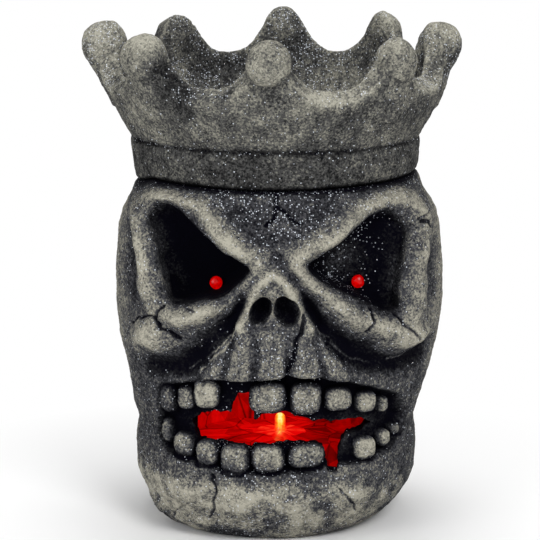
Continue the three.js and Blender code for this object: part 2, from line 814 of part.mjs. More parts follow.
// Stands on its flange at the origin, tip up, with its legs below
function led() {
  const profile = [
    [0, 0],
    [ledFlangeRadius, 0],
    [ledFlangeRadius, ledFlangeThickness],
    [ledRadius, ledFlangeThickness],
  ];
  const domeSteps = 3;
  const domeStart = ledFlangeThickness + ledBodyLength - ledRadius;
  for (let i = 0; i < domeSteps; i += 1) {
    const turn = (Math.PI / 2) * (i / domeSteps);
    profile.push([ledRadius * Math.cos(turn), domeStart + ledRadius * Math.sin(turn)]);
  }
  profile.push([0, domeStart + ledRadius]);
  let body = solid(turned(profile, coarseSides));
  for (const side of [-1, 1]) {
    const leg = block(ledLegWidth, ledLegWidth, -ledLegLength, ledFlangeThickness / 2);
    body = body.add(solid(at(leg, (side * ledLegPitch) / 2, 0, 0)));
  }
  return shape(body);
}

// A hollow pillar with a foot, slotted at the back of its foot for the lead
function ledPillar(bottom, top) {
  const body = solid(turned([
    [0, bottom],
    [pillarFootRadius, bottom],
    [pillarFootRadius, bottom + pillarFootThickness],
    [pillarRadius, bottom + pillarFootThickness],
    [pillarRadius, top],
    [0, top],
  ]));
  const bore = solid(drum(pillarBoreRadius, bottom + pillarFootThickness, top + cutOverrun, coarseSides));
  const slotLow = bottom + pillarFootThickness;
  const slot = block(2 * (twinRadius + fitGap), pillarFootRadius, slotLow, slotLow + pillarSlotHeight);
  return shape(body.subtract(bore).subtract(solid(at(slot, 0, pillarFootRadius / 2, 0))));
}

// A cap that holds a light's flange against the back of the socket wall
function eyeHolder() {
  const deep = ledFlangeThickness + fitGap;
  const body = solid(drum(eyeHolderRadius, 0, eyeHolderLength));
  const flangeRoom = solid(drum(ledFlangeRadius + fitGap, -cutOverrun, deep));
  const legRoom = solid(drum(pillarBoreRadius, 0, ledLegLength + deep, coarseSides));
  const window = solid(drum(eyeHolderWindowRadius, 0, eyeHolderLength + cutOverrun, coarseSides));
  return shape(body.subtract(flangeRoom).subtract(legRoom).subtract(window));
}

// Base plate, battery box and door

const plateMiddle = plateRecess + plateThickness / 2;
const hingeY = -boxInnerLength / 2 + doorThickness / 2 + fitGap;
const doorEndY = boxInnerLength / 2 - fitGap;
const doorLow = plateMiddle - doorThickness / 2;
const doorHigh = plateMiddle + doorThickness / 2;
const doorWidth = boxInnerWidth - 2 * fitGap;
const screwSeat = plateRecess + screwSeatDepth;

function basePlate() {
  const low = plateRecess - cutOverrun;
  const high = plateTop + cutOverrun;
  let body = solid(drum(plateRadius, plateRecess, plateTop, wideSides));
  body = body.subtract(solid(block(boxInnerWidth, boxInnerLength, low, high)));
  const pinReach = doorWidth / 2 + doorPinLength + fitGap;
  const pinRoom = drum(doorPinRadius + fitGap, -pinReach, pinReach, coarseSides);
  pinRoom.rotateY(Math.PI / 2);
  body = body.subtract(solid(at(pinRoom, 0, hingeY, plateMiddle)));
  const [switchX, switchY] = switchPlace;
  const slot = block(knobStem + 2 * fitGap, knobStem + switchTravel + 2 * fitGap, low, high);
  body = body.subtract(solid(at(slot, switchX, switchY, 0)));
  for (const [x, y] of screwPlaces) {
    const shankHole = drum(screwShankRadius + fitGap, low, high, coarseSides);
    const headRoom = drum(screwHeadRadius + fitGap, low, screwSeat, coarseSides);
    body = body.subtract(solid(at(shankHole, x, y, 0))).subtract(solid(at(headRoom, x, y, 0)));
  }
  return shape(body);
}

// A slab whose hinge end is round about its pins, with a springy tongue cut into its free end
function batteryDoor() {
  const slabLength = doorEndY - hingeY;
  const slab = solid(at(block(doorWidth, slabLength, doorLow, doorHigh), 0, hingeY + slabLength / 2, 0));
  const knuckle = drum(doorThickness / 2, -doorWidth / 2, doorWidth / 2, roundSides);
  knuckle.rotateY(Math.PI / 2);
  const pinReach = doorWidth / 2 + doorPinLength;
  const pins = drum(doorPinRadius, -pinReach, pinReach, coarseSides);
  pins.rotateY(Math.PI / 2);
  let body = slab.add(solid(at(knuckle, 0, hingeY, plateMiddle)));
  body = body.add(solid(at(pins, 0, hingeY, plateMiddle)));
  const slitY = doorEndY - doorTongueLength / 2 + fitGap;
  for (const side of [-1, 1]) {
    const slit = block(doorSlitWidth, doorTongueLength, doorLow - cutOverrun, doorHigh + cutOverrun);
    body = body.subtract(solid(at(slit, (side * doorTongueWidth) / 2, slitY, 0)));
  }
  const gripWidth = doorTongueWidth - 2 * doorSlitWidth;
  for (let step = 1; step <= doorGripCount; step += 1) {
    const y = doorEndY - (doorTongueLength * step) / (doorGripCount + 1);
    const grip = block(gripWidth, doorGripHeight, doorLow - doorGripHeight, doorLow + doorGripHeight);
    body = body.add(solid(at(grip, 0, y, 0)));
  }
  return shape(body);
}

function batteryBox() {
  let body = solid(block(boxOuterWidth, boxOuterLength, boxLift, boxTop));
  body = body.subtract(solid(block(boxInnerWidth, boxInnerLength, boxLift - cutOverrun, boxInnerTop)));
  const [slotWidth, slotLength] = [tagWidth + 2 * fitGap, contactThickness + 2 * fitGap];
  for (const { x, y } of tagPlaces) {
    const slot = block(slotWidth, slotLength, boxInnerTop - cutOverrun, boxTop + cutOverrun);
    body = body.subtract(solid(at(slot, x, y, 0)));
  }
  return shape(body);
}

// Each cell points the other way from its neighbour, so plates join them two by two
const cells = Array.from({ length: batteryCount }, (_, i) => ({
  x: (i - (batteryCount - 1) / 2) * batteryPitch,
  towards: i % 2 === 0 ? 1 : -1,
}));
const contactY = boxInnerLength / 2 - fitGap - contactThickness / 2;
const lastCell = cells[batteryCount - 1];
const tagPlaces = [
  { x: cells[0].x, y: cells[0].towards * contactY },
  { x: lastCell.x, y: -lastCell.towards * contactY },
];

function battery(cell) {
  const bodyLength = batteryLength - batteryNubLength;
  const edge = batteryNubLength / 2;
  const geometry = turned([
    [0, 0],
    [batteryDiameter / 2 - edge, 0],
    [batteryDiameter / 2, edge],
    [batteryDiameter / 2, bodyLength - edge],
    [batteryDiameter / 2 - edge, bodyLength],
    [batteryNubRadius, bodyLength],
    [batteryNubRadius, batteryLength],
    [0, batteryLength],
  ]);
  geometry.rotateX((-cell.towards * Math.PI) / 2);
  const nubEnd = contactY - contactThickness / 2 - fitGap;
  return plain(at(geometry, cell.x, cell.towards * (nubEnd - batteryLength), cellHeight));
}

function contactPlate(fromX, toX, y, tagged) {
  const width = toX - fromX + contactSize;
  const middle = (fromX + toX) / 2;
  const low = cellHeight - contactSize / 2;
  let body = solid(at(block(width, contactThickness, low, low + contactSize), middle, y, 0));
  if (tagged) {
    const tag = block(tagWidth, contactThickness, cellHeight, boxTop + tagProud);
    body = body.add(solid(at(tag, middle, y, 0)));
  }
  return shape(body);
}

function batterySpring(cell) {
  const steps = springTurnSteps * springTurns;
  const run = springLength - springWire;
  const points = Array.from({ length: steps + 1 }, (_, i) => {
    const share = i / steps;
    const angle = 2 * Math.PI * springTurns * share;
    const radius = THREE.MathUtils.lerp(springBaseRadius, springTipRadius, share);
    return new THREE.Vector3(radius * Math.cos(angle), run * share, radius * Math.sin(angle));
  });
  const section = ring(springWire / 2, springSides);
  const path = new THREE.CatmullRomCurve3(points);
  const geometry = new THREE.ExtrudeGeometry(section, { steps, bevelEnabled: false, extrudePath: path });
  if (cell.towards < 0) {
    geometry.rotateZ(Math.PI);
  }
  const seat = contactY - contactThickness / 2 - fitGap - springWire / 2;
  return plain(at(geometry, cell.x, -cell.towards * seat, cellHeight));
}

function ring(radius, sides) {
  const points = Array.from({ length: sides }, (_, i) => {
    const angle = (2 * Math.PI * i) / sides;
    return new THREE.Vector2(radius * Math.cos(angle), radius * Math.sin(angle));
  });
  return new THREE.Shape(points);
}

// Screws and inserts

function screw() {
  const slotSize = 2 * screwHeadRadius * crossSlotShare;
  const slotDepth = screwHeadHeight / 2;
  const body = solid(turned([
    [0, 0],
    [screwHeadRadius * crossSlotShare, 0],
    [screwHeadRadius, screwHeadHeight / 2],
    [screwHeadRadius, screwHeadHeight],
    [screwShankRadius, screwHeadHeight],
    [screwShankRadius, screwHeadHeight + screwLength - screwShankRadius],
    [0, screwHeadHeight + screwLength],
  ], coarseSides));
  const bar = solid(block(slotSize, crossSlotWidth, -cutOverrun, slotDepth));
  const crossBar = solid(block(crossSlotWidth, slotSize, -cutOverrun, slotDepth));
  return shape(body.subtract(bar.add(crossBar)));
}

function anchor() {
  const bore = screwShankRadius + fitGap;
  return plain(turned([
    [bore, 0],
    [anchorRadius, 0],
    [anchorRadius, anchorLength],
    [bore, anchorLength],
    [bore, 0],
  ], coarseSides));
}

// Switch

function switchBody() {
  const body = solid(block(switchWidth, switchLength, boxLift, boxLift + switchHeight));
  const [roomWidth, roomLength] = [switchWidth - 2 * switchWall, switchLength - 2 * switchWall];
  const room = block(roomWidth, roomLength, boxLift - cutOverrun, boxLift + switchHeight - switchWall);
  return shape(body.subtract(solid(room)));
}

function switchKnob() {
  const footWidth = switchWidth - 2 * switchWall - 2 * fitGap;
  const foot = block(footWidth, knobFootLength, boxLift, boxLift + knobFootHeight);
  const stem = block(knobStem, knobStem, plateRecess - knobProud, boxLift + knobFootHeight / 2);
  return shape(solid(foot).add(solid(stem)));
}

// Wires

function wire(points, radius) {
  const path = new THREE.CatmullRomCurve3(points.map(([x, y, z]) => new THREE.Vector3(x, y, z)));
  const steps = Math.ceil(path.getLength() / (2 * radius * wireStepDiameters));
  const section = ring(radius, wireSides);
  return plain(new THREE.ExtrudeGeometry(section, { steps, bevelEnabled: false, extrudePath: path }));
}

const boardTop = boxTop + fitGap + boardThickness;

// Routes are chosen by hand, in millimetres from the origin
const redLeadRoute = [
  [-9.9, 24.9, 21.2], [-5, 25.2, 21.6], [3, 25.4, 21.6], [13, 23.6, 21.6], [20.4, 19, 20.8],
  [25, 12.5, 17], [26.5, 8, 14.9], [26.5, 3.9, 14.4],
];
const switchLeadRoute = [
  [26.5, -2.3, 14.4], [25.4, 0.4, 15.6], [22.4, 5, 19.2], [17.5, 8.6, 22.2], [12.6, 9, 22.6], [9, 9, 22.2],
];
const blackLeadRoute = [
  [13.2, -24.9, 21], [15.6, -22.5, 21.4], [17, -15, 21.4], [16.4, -6, 21.6], [13.6, 1, 22.4], [9, 5, 22.2],
];
const mouthLeadEnd = mouthLedSeatHeight - ledLegLength - fitGap;
const mouthLeadRoute = [
  [0, 6, 22.6], [0.6, 2, 23], [1.6, -5, 23.6], [2.2, -12, 24], [2.3, -17.4, 25.2], [2.3, -19.6, 28.5],
  [mouthLedPlace[0], mouthLedPlace[1], mouthLeadEnd - ledLegLength], [...mouthLedPlace, mouthLeadEnd],
];
const eyeLeadStarts = [[[-4, 17, 22.6], [-4.4, 19.6, 24.6]], [[4, 17, 22.6], [4.4, 19.6, 24.6]]];
// Each eye light's lead climbs from the board to its cap by these shares of the way
const eyeLeadShares = [
  [0.04, -0.03, 0.1], [0.12, -0.03, 0.27], [0.25, 0, 0.48], [0.44, 0.09, 0.665], [0.67, 0.28, 0.83],
  [0.87, 0.54, 0.95], [0.98, 0.79, 0.995], [1, 1, 1],
];

function eyeLead(socket, start) {
  const [x, z] = onFace(socket.ledShares);
  const from = start[start.length - 1];
  const to = [x, socketBackY + fitGap + eyeHolderLength - twinRadius / 2, z];
  const climb = eyeLeadShares.map((shares) => shares.map((share, i) => from[i] + share * (to[i] - from[i])));
  return wire([...start, ...climb], twinRadius);
}

// Materials

function paint(color, roughness, metalness = 0) {
  return new THREE.MeshStandardMaterial({ color, roughness, metalness });
}

const castStone = paint(0x6f6d68, 0.9);
const crownStone = paint(0x76736c, 0.9);
const redFilm = paint(0xd01010, 0.35);
const redLens = paint(0xe01818, 0.15);
const clearLens = paint(0xffd9a0, 0.1);
const blackPlastic = paint(0x1c1c1e, 0.55);
const whitePlastic = paint(0xd9d7d0, 0.5);
const steel = paint(0xb9bcc0, 0.3, 1);
const brass = paint(0xc7a252, 0.35, 1);
const cellJacket = paint(0x3c4a3f, 0.4);
const boardGreen = paint(0x1f5a34, 0.5);
const resistorBeige = paint(0xcbb58a, 0.6);
const redCover = paint(0xb01515, 0.45);
const blackCover = paint(0x151515, 0.45);

// Assembly

const group = new THREE.Group();
group.add(named("skull_shell", skullShell(), castStone));
group.add(named("crown_bowl", crownBowl(), crownStone));
group.add(named("mouth_liner", mouthLiner(), redFilm));

const mouthLed = named("mouth_led", led(), clearLens);
mouthLed.position.set(mouthLedPlace[0], mouthLedPlace[1], mouthLedSeatHeight + fitGap);
group.add(mouthLed);
const pillar = named("mouth_led_pillar", ledPillar(boxTop + fitGap, mouthLedSeatHeight), whitePlastic);
pillar.position.set(mouthLedPlace[0], mouthLedPlace[1], 0);
group.add(pillar);

for (const socket of sockets) {
  const [x, z] = onFace(socket.ledShares);
  const eyeLed = named(`eye_led_${socket.side}`, led(), redLens);
  eyeLed.rotation.x = Math.PI / 2;
  eyeLed.position.set(x, socketBackY + fitGap + ledFlangeThickness, z);
  group.add(eyeLed);
  const holder = named(`eye_led_cap_${socket.side}`, eyeHolder(), blackPlastic);
  holder.rotation.x = -Math.PI / 2;
  holder.position.set(x, socketBackY + fitGap, z);
  group.add(holder);
}

group.add(named("base_plate", basePlate(), blackPlastic));
screwPlaces.forEach(([x, y], i) => {
  const baseScrew = named(`base_screw_${i + 1}`, screw(), steel);
  baseScrew.position.set(x, y, screwSeat - fitGap - screwHeadHeight);
  group.add(baseScrew);
  const insert = named(`screw_anchor_${i + 1}`, anchor(), whitePlastic);
  insert.position.set(x, y, ledgeHeight);
  group.add(insert);
});

group.add(named("battery_box", batteryBox(), blackPlastic));
group.add(named("battery_door", batteryDoor(), blackPlastic));
cells.forEach((cell, i) => {
  group.add(named(`battery_${i + 1}`, battery(cell), cellJacket));
  group.add(named(`battery_spring_${i + 1}`, batterySpring(cell), steel));
});
group.add(named("contact_positive", contactPlate(cells[0].x, cells[0].x, tagPlaces[0].y, true), steel));
group.add(named("contact_negative", contactPlate(lastCell.x, lastCell.x, tagPlaces[1].y, true), steel));
for (let i = 0; i + 1 < batteryCount; i += 1) {
  const y = -cells[i].towards * contactY;
  group.add(named(`contact_bridge_${i + 1}`, contactPlate(cells[i].x, cells[i + 1].x, y, false), steel));
}

const lampSwitch = named("switch_body", switchBody(), blackPlastic);
lampSwitch.position.set(switchPlace[0], switchPlace[1], 0);
group.add(lampSwitch);
const knob = named("switch_knob", switchKnob(), whitePlastic);
knob.position.set(switchPlace[0], switchPlace[1] - switchTravel / 2, 0);
group.add(knob);
[-1, 1].forEach((side, i) => {
  const low = boxLift + switchHeight + fitGap;
  const tab = block(terminalSize, terminalThickness, low, low + terminalHeight);
  const terminal = named(`switch_terminal_${i + 1}`, plain(tab), brass);
  terminal.position.set(switchPlace[0], switchPlace[1] + (side * terminalPitch) / 2, 0);
  group.add(terminal);
});

const boardSlab = block(boardSize[0], boardSize[1], boxTop + fitGap, boardTop);
const board = named("circuit_board", plain(boardSlab), boardGreen);
board.position.set(boardMiddle[0], boardMiddle[1], 0);
group.add(board);
[-1, 0, 1].forEach((side, i) => {
  const body = drum(resistorRadius, -resistorLength / 2, resistorLength / 2, coarseSides);
  const resistor = named(`resistor_${i + 1}`, plain(body), resistorBeige);
  resistor.rotation.x = Math.PI / 2;
  const x = boardMiddle[0] + side * resistorPitch;
  resistor.position.set(x, boardMiddle[1], boardTop + fitGap + resistorRadius);
  group.add(resistor);
});

group.add(named("battery_lead_red", wire(redLeadRoute, wireRadius), redCover));
group.add(named("switch_lead_red", wire(switchLeadRoute, wireRadius), redCover));
group.add(named("battery_lead_black", wire(blackLeadRoute, wireRadius), blackCover));
group.add(named("mouth_led_lead", wire(mouthLeadRoute, twinRadius), blackCover));
sockets.forEach((socket, i) => {
  group.add(named(`eye_led_lead_${socket.side}`, eyeLead(socket, eyeLeadStarts[i]), blackCover));
});

export default group;
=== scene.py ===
import json
import math
from itertools import product

import bpy
import numpy as np
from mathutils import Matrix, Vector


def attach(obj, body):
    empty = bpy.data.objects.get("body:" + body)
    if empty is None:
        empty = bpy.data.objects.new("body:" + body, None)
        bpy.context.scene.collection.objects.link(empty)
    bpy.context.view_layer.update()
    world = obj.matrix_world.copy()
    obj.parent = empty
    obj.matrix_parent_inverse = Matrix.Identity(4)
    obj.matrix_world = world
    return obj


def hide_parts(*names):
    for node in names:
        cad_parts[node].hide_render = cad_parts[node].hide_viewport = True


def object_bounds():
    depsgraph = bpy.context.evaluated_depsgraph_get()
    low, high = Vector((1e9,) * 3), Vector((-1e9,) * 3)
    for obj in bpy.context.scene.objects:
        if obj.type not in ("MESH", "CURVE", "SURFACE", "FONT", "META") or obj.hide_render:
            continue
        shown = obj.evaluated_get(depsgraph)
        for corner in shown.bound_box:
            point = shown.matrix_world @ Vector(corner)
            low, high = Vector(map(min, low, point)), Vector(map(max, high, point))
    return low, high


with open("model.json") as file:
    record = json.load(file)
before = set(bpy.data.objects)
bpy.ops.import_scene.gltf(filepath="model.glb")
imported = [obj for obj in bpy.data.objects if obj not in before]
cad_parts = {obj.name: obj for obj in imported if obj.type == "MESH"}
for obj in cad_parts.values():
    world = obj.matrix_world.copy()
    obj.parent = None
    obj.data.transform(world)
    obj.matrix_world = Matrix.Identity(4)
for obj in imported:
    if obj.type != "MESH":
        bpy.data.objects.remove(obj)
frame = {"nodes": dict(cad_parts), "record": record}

import openvdb as vdb
from mathutils import Vector

# Looks of a skull-shaped candy bowl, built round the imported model. Shapes are worked out
# in millimetres, as voxels or as rings, and each mesh is turned into metres as it is made.

MM = 0.001
VOXEL = 0.7
SEED = 11

cad_box = [list(corner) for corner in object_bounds()]

# Sizes of the skull's casting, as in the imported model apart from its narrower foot
HALF_WIDTH = 77.0
HEIGHT = 165.5
WALL = 9.0
GAP = 0.3
PROFILE_SHARES = np.array([
    [0, 0.57, 0.65, 0.62], [0.02, 0.67, 0.715, 0.72], [0.05, 0.737, 0.78, 0.78],
    [0.08, 0.786, 0.82, 0.82], [0.11, 0.825, 0.85, 0.85], [0.15, 0.862, 0.875, 0.88],
    [0.22, 0.866, 0.895, 0.92], [0.3, 0.85, 0.905, 0.95], [0.36, 0.886, 0.91, 0.97],
    [0.42, 0.915, 0.915, 0.99], [0.48, 0.948, 0.925, 1.01], [0.54, 0.982, 0.935, 1.02],
    [0.65, 1.003, 0.955, 1.04], [0.73, 1.001, 0.965, 1.04], [0.79, 0.993, 0.97, 1.03],
    [0.855, 0.978, 0.96, 1.0], [0.89, 0.958, 0.95, 0.975], [0.92, 0.927, 0.925, 0.945],
    [0.95, 0.889, 0.895, 0.905], [1, 0.862, 0.875, 0.875],
])
ROUNDNESS = 2.25
FOOT_ROUNDNESS = 1.95
FOOT_SHARE = 0.12
FACING_SHARE = 0.4
LEDGE_HEIGHT = 7.4
CAVITY_FLOOR = 16.4
CAVITY_CEILING = HEIGHT - WALL
PLATE_SEAT_RADIUS = 42.3
BASE_OPENING_RADIUS = 34.0
SPIGOT_RADIUS = 54.0
SPIGOT_BOTTOM = 152.3
CROWN_BASE = 165.8
OVERRUN = 2.0

# Places on the face, as shares of the half-width and of the height
LEFT_RIDGE_SHARES = [
    (-0.06, 0.811), (-0.16, 0.839), (-0.26, 0.881), (-0.4, 0.95), (-0.51, 0.975), (-0.61, 0.98),
    (-0.69, 0.967), (-0.755, 0.935), (-0.785, 0.885), (-0.75, 0.79), (-0.69, 0.683), (-0.61, 0.657),
    (-0.53, 0.649), (-0.44, 0.661), (-0.24, 0.708), (-0.16, 0.745), (-0.11, 0.781),
]
RIGHT_RIDGE_SHARES = [
    (0.11, 0.816), (0.2, 0.851), (0.31, 0.875), (0.48, 0.943), (0.57, 0.963), (0.67, 0.974),
    (0.755, 0.955), (0.805, 0.913), (0.815, 0.86), (0.805, 0.77), (0.795, 0.665), (0.745, 0.62),
    (0.67, 0.618), (0.56, 0.635), (0.45, 0.659), (0.28, 0.72), (0.2, 0.759), (0.14, 0.8),
]
LEFT_SOCKET_SHARES = [
    (-0.76, 0.94), (-0.71, 0.955), (-0.64, 0.962), (-0.56, 0.944), (-0.44, 0.895), (-0.3, 0.837),
    (-0.22, 0.821), (-0.14, 0.793), (-0.17, 0.767), (-0.29, 0.714), (-0.4, 0.701), (-0.52, 0.686),
    (-0.6, 0.693), (-0.66, 0.771), (-0.71, 0.858), (-0.77, 0.92),
]
RIGHT_SOCKET_SHARES = [
    (0.21, 0.801), (0.31, 0.836), (0.39, 0.859), (0.48, 0.895), (0.58, 0.929), (0.66, 0.944),
    (0.76, 0.924), (0.8, 0.897), (0.77, 0.831), (0.74, 0.761), (0.73, 0.707), (0.73, 0.669),
    (0.66, 0.662), (0.59, 0.679), (0.47, 0.712), (0.31, 0.748), (0.25, 0.771),
]
SOCKET_MIDDLE_SHARES = [(-0.44, 0.716), (0.5, 0.705)]
EYE_LED_SHARES = [(-0.343, 0.7245), (0.496, 0.7295)]
SOCKET_FLOOR = 0.585 * HALF_WIDTH
SOCKET_WALL = 5.0
SOCKET_TAPER_SHARES = np.array([[0.585, 0.85], [0.65, 0.95], [0.75, 1.0], [0.9, 1.02], [1.2, 1.08]])
SOCKET_ROUNDING = 4.5
NOSE_RIDGE_SHARES = [
    (-0.19, 0.639), (-0.17, 0.662), (-0.13, 0.712), (-0.06, 0.762), (0, 0.787),
    (0.07, 0.765), (0.14, 0.718), (0.19, 0.662), (0.22, 0.634),
]
# Nostrils: place in shares, lean, half-width, half-height
NOSTRILS = [((-0.068, 0.682), 0.5, 4.6, 6.9), ((0.082, 0.682), -0.4, 5.7, 7.2)]
NOSTRIL_DEPTH = 9.0
NOSTRIL_ROUNDING = 1.0
# Narrow valleys beside the nose
NOSE_VALLEY_SHARES = [
    [(-0.02, 0.815), (-0.09, 0.777), (-0.17, 0.72), (-0.23, 0.67), (-0.26, 0.635)],
    [(0.045, 0.828), (0.09, 0.79), (0.17, 0.745), (0.235, 0.69), (0.28, 0.64), (0.34, 0.59)],
]
# Soft grooves between the swellings over the teeth
ROOT_GROOVE_SHARES = [
    [(-0.09, 0.6), (-0.079, 0.555), (-0.1, 0.52), (-0.108, 0.486)],
    [(0.24, 0.6), (0.265, 0.546), (0.299, 0.494)],
    [(0.34, 0.59), (0.41, 0.545), (0.463, 0.476)], [(-0.23, 0.6), (-0.257, 0.53), (-0.284, 0.492)],
    [(-0.37, 0.56), (-0.41, 0.503), (-0.444, 0.476)], [(0.086, 0.55), (0.08, 0.49)],
]
# Lumps: places in shares, height, spread
CHEEKS = ([(-0.7, 0.581), (0.76, 0.587)], 8.0, 10.0)
NOSE_BRIDGE = ([(0.005, 0.742)], 4.6, 5.0)
CHIN = ([(-0.52, 0.15), (-0.2, 0.13), (0.12, 0.13), (0.45, 0.15)], 4.0, 10.0)
MUZZLE = ([(-0.12, 0.56), (0.14, 0.55)], 4.0, 17.0)
ROOT_SHARES = [
    [(-0.32, 0.57), (-0.37, 0.49)], [(-0.17, 0.6), (-0.19, 0.5)], [(-0.01, 0.6), (-0.01, 0.5)],
    [(0.17, 0.6), (0.19, 0.51)], [(0.3, 0.59), (0.38, 0.49)],
]
ROOT_HEIGHT = 2.6
ROOT_SPREAD = 6.2
CHEEK_HOLLOW_SHARES = [
    [(-0.18, 0.7), (-0.23, 0.66), (-0.295, 0.611), (-0.415, 0.553), (-0.545, 0.515), (-0.7, 0.503)],
    [(0.21, 0.695), (0.26, 0.652), (0.34, 0.607), (0.46, 0.563), (0.6, 0.526), (0.75, 0.516),
     (0.9, 0.525)],
]
TEMPLE_SHARES = [[(-0.89, 0.86), (-0.87, 0.7)], [(0.94, 0.82), (0.93, 0.69)]]
# Hollows and grooves: lines in shares, depth, spread
HOLLOWS = [(CHEEK_HOLLOW_SHARES, 7.0, 7.0), (TEMPLE_SHARES, 3.0, 6.0)]
GROOVES = [(NOSE_VALLEY_SHARES, 1.8, 2.6), (ROOT_GROOVE_SHARES, 1.5, 1.7)]
MOUTH_RECESS_SHARES = [
    (-0.7, 0.32), (-0.69, 0.4), (-0.68, 0.441), (-0.52, 0.463), (-0.36, 0.48), (-0.11, 0.482),
    (0.09, 0.497), (0.26, 0.49), (0.47, 0.465), (0.58, 0.448), (0.75, 0.41), (0.79, 0.34),
    (0.71, 0.255), (0.57, 0.238), (0.31, 0.236), (0.16, 0.223), (-0.05, 0.217), (-0.32, 0.224),
    (-0.46, 0.24), (-0.6, 0.246), (-0.67, 0.26),
]
RECESS_DEPTH = 7.0
RECESS_SLOPE = 3.0
MOUTH_GAP_SHARES = [
    (-0.48, 0.348), (-0.4, 0.374), (-0.25, 0.383), (-0.21, 0.435), (-0.12, 0.438), (-0.11, 0.365),
    (0, 0.383), (0.08, 0.387), (0.13, 0.374), (0.27, 0.358), (0.53, 0.35), (0.57, 0.333),
    (0.53, 0.317), (0.39, 0.3), (0.38, 0.218), (0.31, 0.221), (0.31, 0.262), (0.27, 0.288),
    (0.09, 0.289), (-0.15, 0.279),
    (-0.31, 0.288), (-0.44, 0.284),
]
GAP_ROUNDING = 0.8
# Teeth: middle in shares, width, height, and how pale or dark the tooth is
TEETH = [
    (-0.63, 0.406, 9.0, 13.8, -0.8), (-0.52, 0.417, 8.7, 11.0, -0.5), (-0.4, 0.437, 12.3, 14.5, 0.5),
    (-0.033, 0.432, 17.4, 15.2, -0.1), (0.203, 0.43, 14.7, 15.4, 0.0), (0.393, 0.423, 13.3, 11.3, 0.0),
    (0.554, 0.406, 10.5, 10.4, -0.1), (0.645, 0.391, 5.0, 8.3, -0.7), (-0.65, 0.308, 5.0, 12.5, -1.0),
    (-0.545, 0.277, 11.5, 11.8, -0.5), (-0.402, 0.265, 10.8, 12.4, -0.4), (-0.233, 0.254, 13.8, 14.4, -0.3),
    (-0.03, 0.258, 14.9, 13.7, -0.1), (0.21, 0.265, 17.0, 11.8, -0.4), (0.556, 0.27, 11.5, 10.9, 0.4),
    (0.677, 0.286, 6.3, 8.0, -0.3), (0.748, 0.3, 5.0, 6.0, -0.7),
]
TOOTH_DEPTH = 10.0
TOOTH_PROUD = 0.5
TOOTH_ROUNDING = 0.6
TOOTH_FACE_SQUARENESS = 3
TOOTH_EDGE_SQUARENESS = 2.4
# Cracks: line in shares, half-width, depth
CRACKS = [
    ([(0.022, 0.99), (0.023, 0.972), (0.022, 0.952), (0.017, 0.937), (0, 0.924), (-0.042, 0.912)], 0.8, 2.0),
    ([(0.023, 0.958), (0.062, 0.947), (0.1, 0.931), (0.135, 0.917), (0.174, 0.914)], 0.65, 1.6),
    ([(-0.853, 0.608), (-0.79, 0.63), (-0.704, 0.65), (-0.662, 0.65)], 0.65, 1.8),
    ([(-0.612, 0.68), (-0.649, 0.66), (-0.666, 0.638), (-0.622, 0.619), (-0.565, 0.607), (-0.534, 0.594)],
     0.8, 2.2),
    ([(-0.483, 0.677), (-0.46, 0.676), (-0.423, 0.679)], 0.65, 1.5),
    ([(0.562, 0.678), (0.562, 0.656), (0.54, 0.638), (0.532, 0.616)], 0.8, 2.0),
    ([(0.694, 0.654), (0.713, 0.626), (0.739, 0.605), (0.784, 0.578)], 0.65, 1.8),
    ([(0.778, 0.908), (0.814, 0.912), (0.849, 0.915)], 0.5, 1.5),
    ([(0.797, 0.901), (0.847, 0.89), (0.89, 0.874), (0.906, 0.859)], 0.8, 2.0),
    ([(0.179, 0.668), (0.169, 0.638), (0.138, 0.612), (0.118, 0.578), (0.112, 0.548), (0.087, 0.525),
      (0.08, 0.49), (0.085, 0.441)], 0.8, 2.4),
    ([(-0.356, 0.208), (-0.335, 0.162), (-0.353, 0.127), (-0.34, 0.078)], 0.65, 1.6),
    ([(-0.484, 0.117), (-0.525, 0.101), (-0.544, 0.072), (-0.535, 0.056)], 0.5, 1.3),
    ([(0.381, 0.173), (0.429, 0.137), (0.471, 0.117), (0.478, 0.092)], 0.65, 1.8),
]
# Thin pale scratches in the hollows under the cheekbones
SCRATCH_SHARES = [
    [(-0.199, 0.637), (-0.255, 0.602), (-0.342, 0.562), (-0.414, 0.536)],
    [(-0.262, 0.583), (-0.326, 0.55), (-0.391, 0.533)], [(-0.455, 0.526), (-0.496, 0.512), (-0.532, 0.502)],
    [(-0.222, 0.625), (-0.247, 0.595), (-0.287, 0.567)], [(-0.403, 0.514), (-0.431, 0.497)],
    [(0.268, 0.626), (0.362, 0.582), (0.473, 0.54), (0.616, 0.512)], [(0.331, 0.605), (0.425, 0.557)],
    [(0.713, 0.519), (0.795, 0.517), (0.87, 0.541)],
]
SCRATCH_HALF_WIDTH = 0.45
CRACK_STEP = 2.2
CRACK_JITTER = 0.55

# Bones: their edges wander, their height is uneven, and they fade out under the seam
NOSE_RIDGE_HEIGHT = 5.5
NOSE_RIDGE_SPREAD = 3.6
NOSE_EDGE_SPREAD = 2.4
RIDGE_HEIGHT = 6.0
RIDGE_SPREAD = 6.0
WANDER = 1.3
UNEVEN_SHARE = 0.16
BONE_FADE = (-0.5, 5.5)

# Noises: size of the lumps, seed
WANDER_ACROSS_NOISE = (13.0, 21)
WANDER_UP_NOISE = (13.0, 22)
UNEVEN_NOISE = (8.0, 23)
CREST_NOISE = (5.0, 24)
SOCKET_NOISE = (6.0, 25)
CHIN_WIDE_NOISE = (15.0, 7)
CHIN_FINE_NOISE = (5.0, 13)
SKULL_GLINT_NOISE = (8.0, 8)
CROWN_LUMP_NOISE = (13.0, 14)
CROWN_WIDE_NOISE = (22.0, 9)
CROWN_FINE_NOISE = (7.0, 15)
CROWN_GLINT_NOISE = (10.0, 10)
GLUE_GLOW_NOISE = (2.6, 12)
PIT_NOISE = (2.4, 4)
